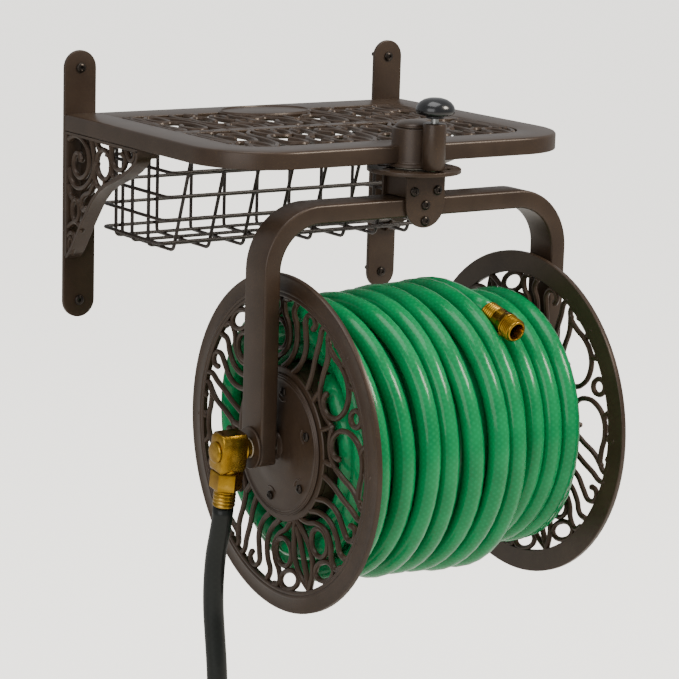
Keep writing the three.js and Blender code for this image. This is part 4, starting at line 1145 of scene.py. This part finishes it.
leader_ferrule = turned(
    "ribbed_ferrule", ferrule_profile(11.6, 19, 5, 5, 1.3), inlet_place @ Matrix.Translation((0, 0, -0.0596))
)
finish_piece(leader_ferrule, BRASS, "leader_ferrule")

# %% [markdown]
# ## Hose ends
# Each hose ends in a crimped ferrule with fine ribs, a collar with flats, and a threaded mouth that is
# open. The wound hose's end points to the front and a little down, along its last stretch.

# %% Hose ends
def under(corners):
    """A placing matrix at the bottom middle of a box."""
    low, high = corners
    return Matrix.Translation(((low.x + high.x) / 2, (low.y + high.y) / 2, low.z))


mouth_profile = [
    (8.5, -30), (12.2, -30), (12.2, -21), (12.6, -20.6), (13, -20), (13, -14.6), (12.4, -14), (10.9, -13.6),
]
for i in range(5):
    z = -12.4 + i * 2.4
    mouth_profile += [(11.1, z - 0.9), (12.3, z), (11.1, z + 0.9)]
mouth_profile += [(10.8, -0.5), (10.2, 0), (8.9, 0), (8.5, -0.6), (8.5, -30)]
end_place = Matrix.Translation(hose_mouth) @ end_along.to_track_quat("Z", "Y").to_matrix().to_4x4()
hose_ferrule = turned("hose_end_crimp", ferrule_profile(11.8, 17, 8.5, 6, 0.9), end_place)
finish_piece(hose_ferrule, BRASS, "hose_end_ferrule")
END_REACH = 47.3 * MM  # from the ferrule's start to the open mouth
mouth_place = end_place @ Matrix.Translation((0, 0, END_REACH))
hose_coupling = turned("hose_end_thread", mouth_profile, mouth_place)
finish_piece(hose_coupling, BRASS, "hose_end_coupling")

tail = under(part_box("leader_end_ferrule"))
leader_crimp = turned("leader_end_crimp", ferrule_profile(11.6, 17, 5, 6, 0.9), tail)
finish_piece(leader_crimp, BRASS, "leader_end_ferrule")
mouth_down = under(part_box("leader_end_coupling")) @ Matrix.Rotation(math.pi, 4, "X")
leader_mouth = turned("leader_end_thread", mouth_profile, mouth_down)
finish_piece(leader_mouth, BRASS, "leader_end_coupling")
print("brass inlet and hose ends")

# %% [markdown]
# ### Ties on the coil
# Two narrow straps hold the leader's coil together. Each is a flat band wrapped close round the turns.

# %% Ties
ties = []
for angle in (math.radians(200), math.radians(330)):
    centre = Vector((0, coil_middle.y + coil_r * math.cos(angle), coil_middle.z + coil_r * math.sin(angle)))
    out = Vector((0, math.cos(angle), math.sin(angle)))
    share = (-angle / (2 * math.pi)) % 1
    first = ELBOW_X + coil_shift * share / COIL_TURNS
    centre.x = first + coil_shift / (2 * COIL_TURNS)
    span = coil_shift / COIL_TURNS / 2 / MM
    r = LEADER_R / MM + 0.2
    loop = arc(-span, 0, r, 90, 270, 12) + arc(span, 0, r, -90, 90, 12)
    path = edge_path(loop)
    band = [(0, -4), (0, 4), (-1.0, 4), (-1.0, -4)]
    around = out.cross(Vector((1, 0, 0)))
    place = basis((1, 0, 0), out, -around, centre)
    tie = swept(f"coil_tie_{len(ties) + 1}", path, band, place, closed=True)
    ties.append(finish_piece(tie, SOFT_RUBBER, body="inlet"))

# %% [markdown]
# ## CAD nodes that stay
# The inner parts keep their CAD solids, which are the right shape and mostly hidden. Each gets its
# own finish in place of the plain one.

# %% Finishes for CAD nodes
for name, material in {
    "swivel_bushing": NYLON, "swivel_washer": NYLON, "axle_bushing_left": NYLON, "axle_bushing_right": NYLON,
    "swivel_nut": ZINC_PLATE, "swivel_shaft": ZINC_PLATE, "lock_pin": ZINC_PLATE, "lock_spring": ZINC_PLATE,
    "crank_shaft": ZINC_PLATE, "inlet_tube": BRASS, "swivel_block": BRONZE, "drum": BRONZE,
}.items():
    slots = frame["nodes"][name].data.materials
    for i in range(len(slots)):
        slots[i] = material

# %% [markdown]
# ## Floor and light
# The object hangs over a plain pale floor. Only the camera sees the floor's glow, so the glow doesn't
# light the object. A large soft light stands in front and to the right, above the shelf, a weaker one
# fills from the left, one hangs overhead, and a pale world lifts the shadows.

# %% Floor and light
bpy.ops.object.select_all(action="DESELECT")
bpy.ops.mesh.primitive_plane_add(size=60, location=(0, 0, 0))
floor = bpy.context.object
floor.name = "floor"
floor.data.transform(Matrix.Translation((0, 0, cad_bounds[0][2] - 0.04)))
floor_material, floor_tree, floor_shader = new_material("pale_floor", Roughness=0.9)
floor_shader.inputs["Base Color"].default_value = linear("#F2F0EB")
floor_shader.inputs["Emission Color"].default_value = linear("#F4F1EA")
glow = node(floor_tree, "ShaderNodeLightPath").outputs["Is Camera Ray"]
glow = node(floor_tree, "ShaderNodeMath", {0: glow, 1: 1.9}, operation="MULTIPLY").outputs[0]
floor_tree.links.new(glow, floor_shader.inputs["Emission Strength"])
floor.data.materials.append(floor_material)


def soft_light(name, place, target, size, power, colour="#FFFFFF"):
    bpy.ops.object.light_add(type="AREA")
    light = bpy.context.object
    light.name = name
    light.data.size = size
    light.data.energy = power
    light.data.color = linear(colour)[:3]
    towards = (Vector(target) - Vector(place)).to_track_quat("-Z", "Y")
    light.matrix_world = Matrix.Translation(place) @ towards.to_matrix().to_4x4()


aim = (0, -0.3, -0.1)
soft_light("key", (1.6, -2.2, 2.0), aim, 1.1, 95, "#FFF6E8")
soft_light("fill", (-2.4, -1.6, 0.8), aim, 2.0, 30)
soft_light("top", (-0.3, -0.4, 2.2), aim, 1.6, 28)
world = bpy.data.worlds.new("pale")
world.use_nodes = True
sky = world.node_tree
sky.nodes.clear()
lit = node(sky, "ShaderNodeBackground", {"Color": linear("#ECEDEE"), "Strength": 0.62})
seen = node(sky, "ShaderNodeBackground", {"Color": linear("#F4F2ED"), "Strength": 3.2})
seen_by = node(sky, "ShaderNodeLightPath").outputs["Is Camera Ray"]
mixed = node(sky, "ShaderNodeMixShader", {0: seen_by, 1: lit.outputs[0], 2: seen.outputs[0]})
node(sky, "ShaderNodeOutputWorld", {0: mixed.outputs[0]})
bpy.context.scene.world = world
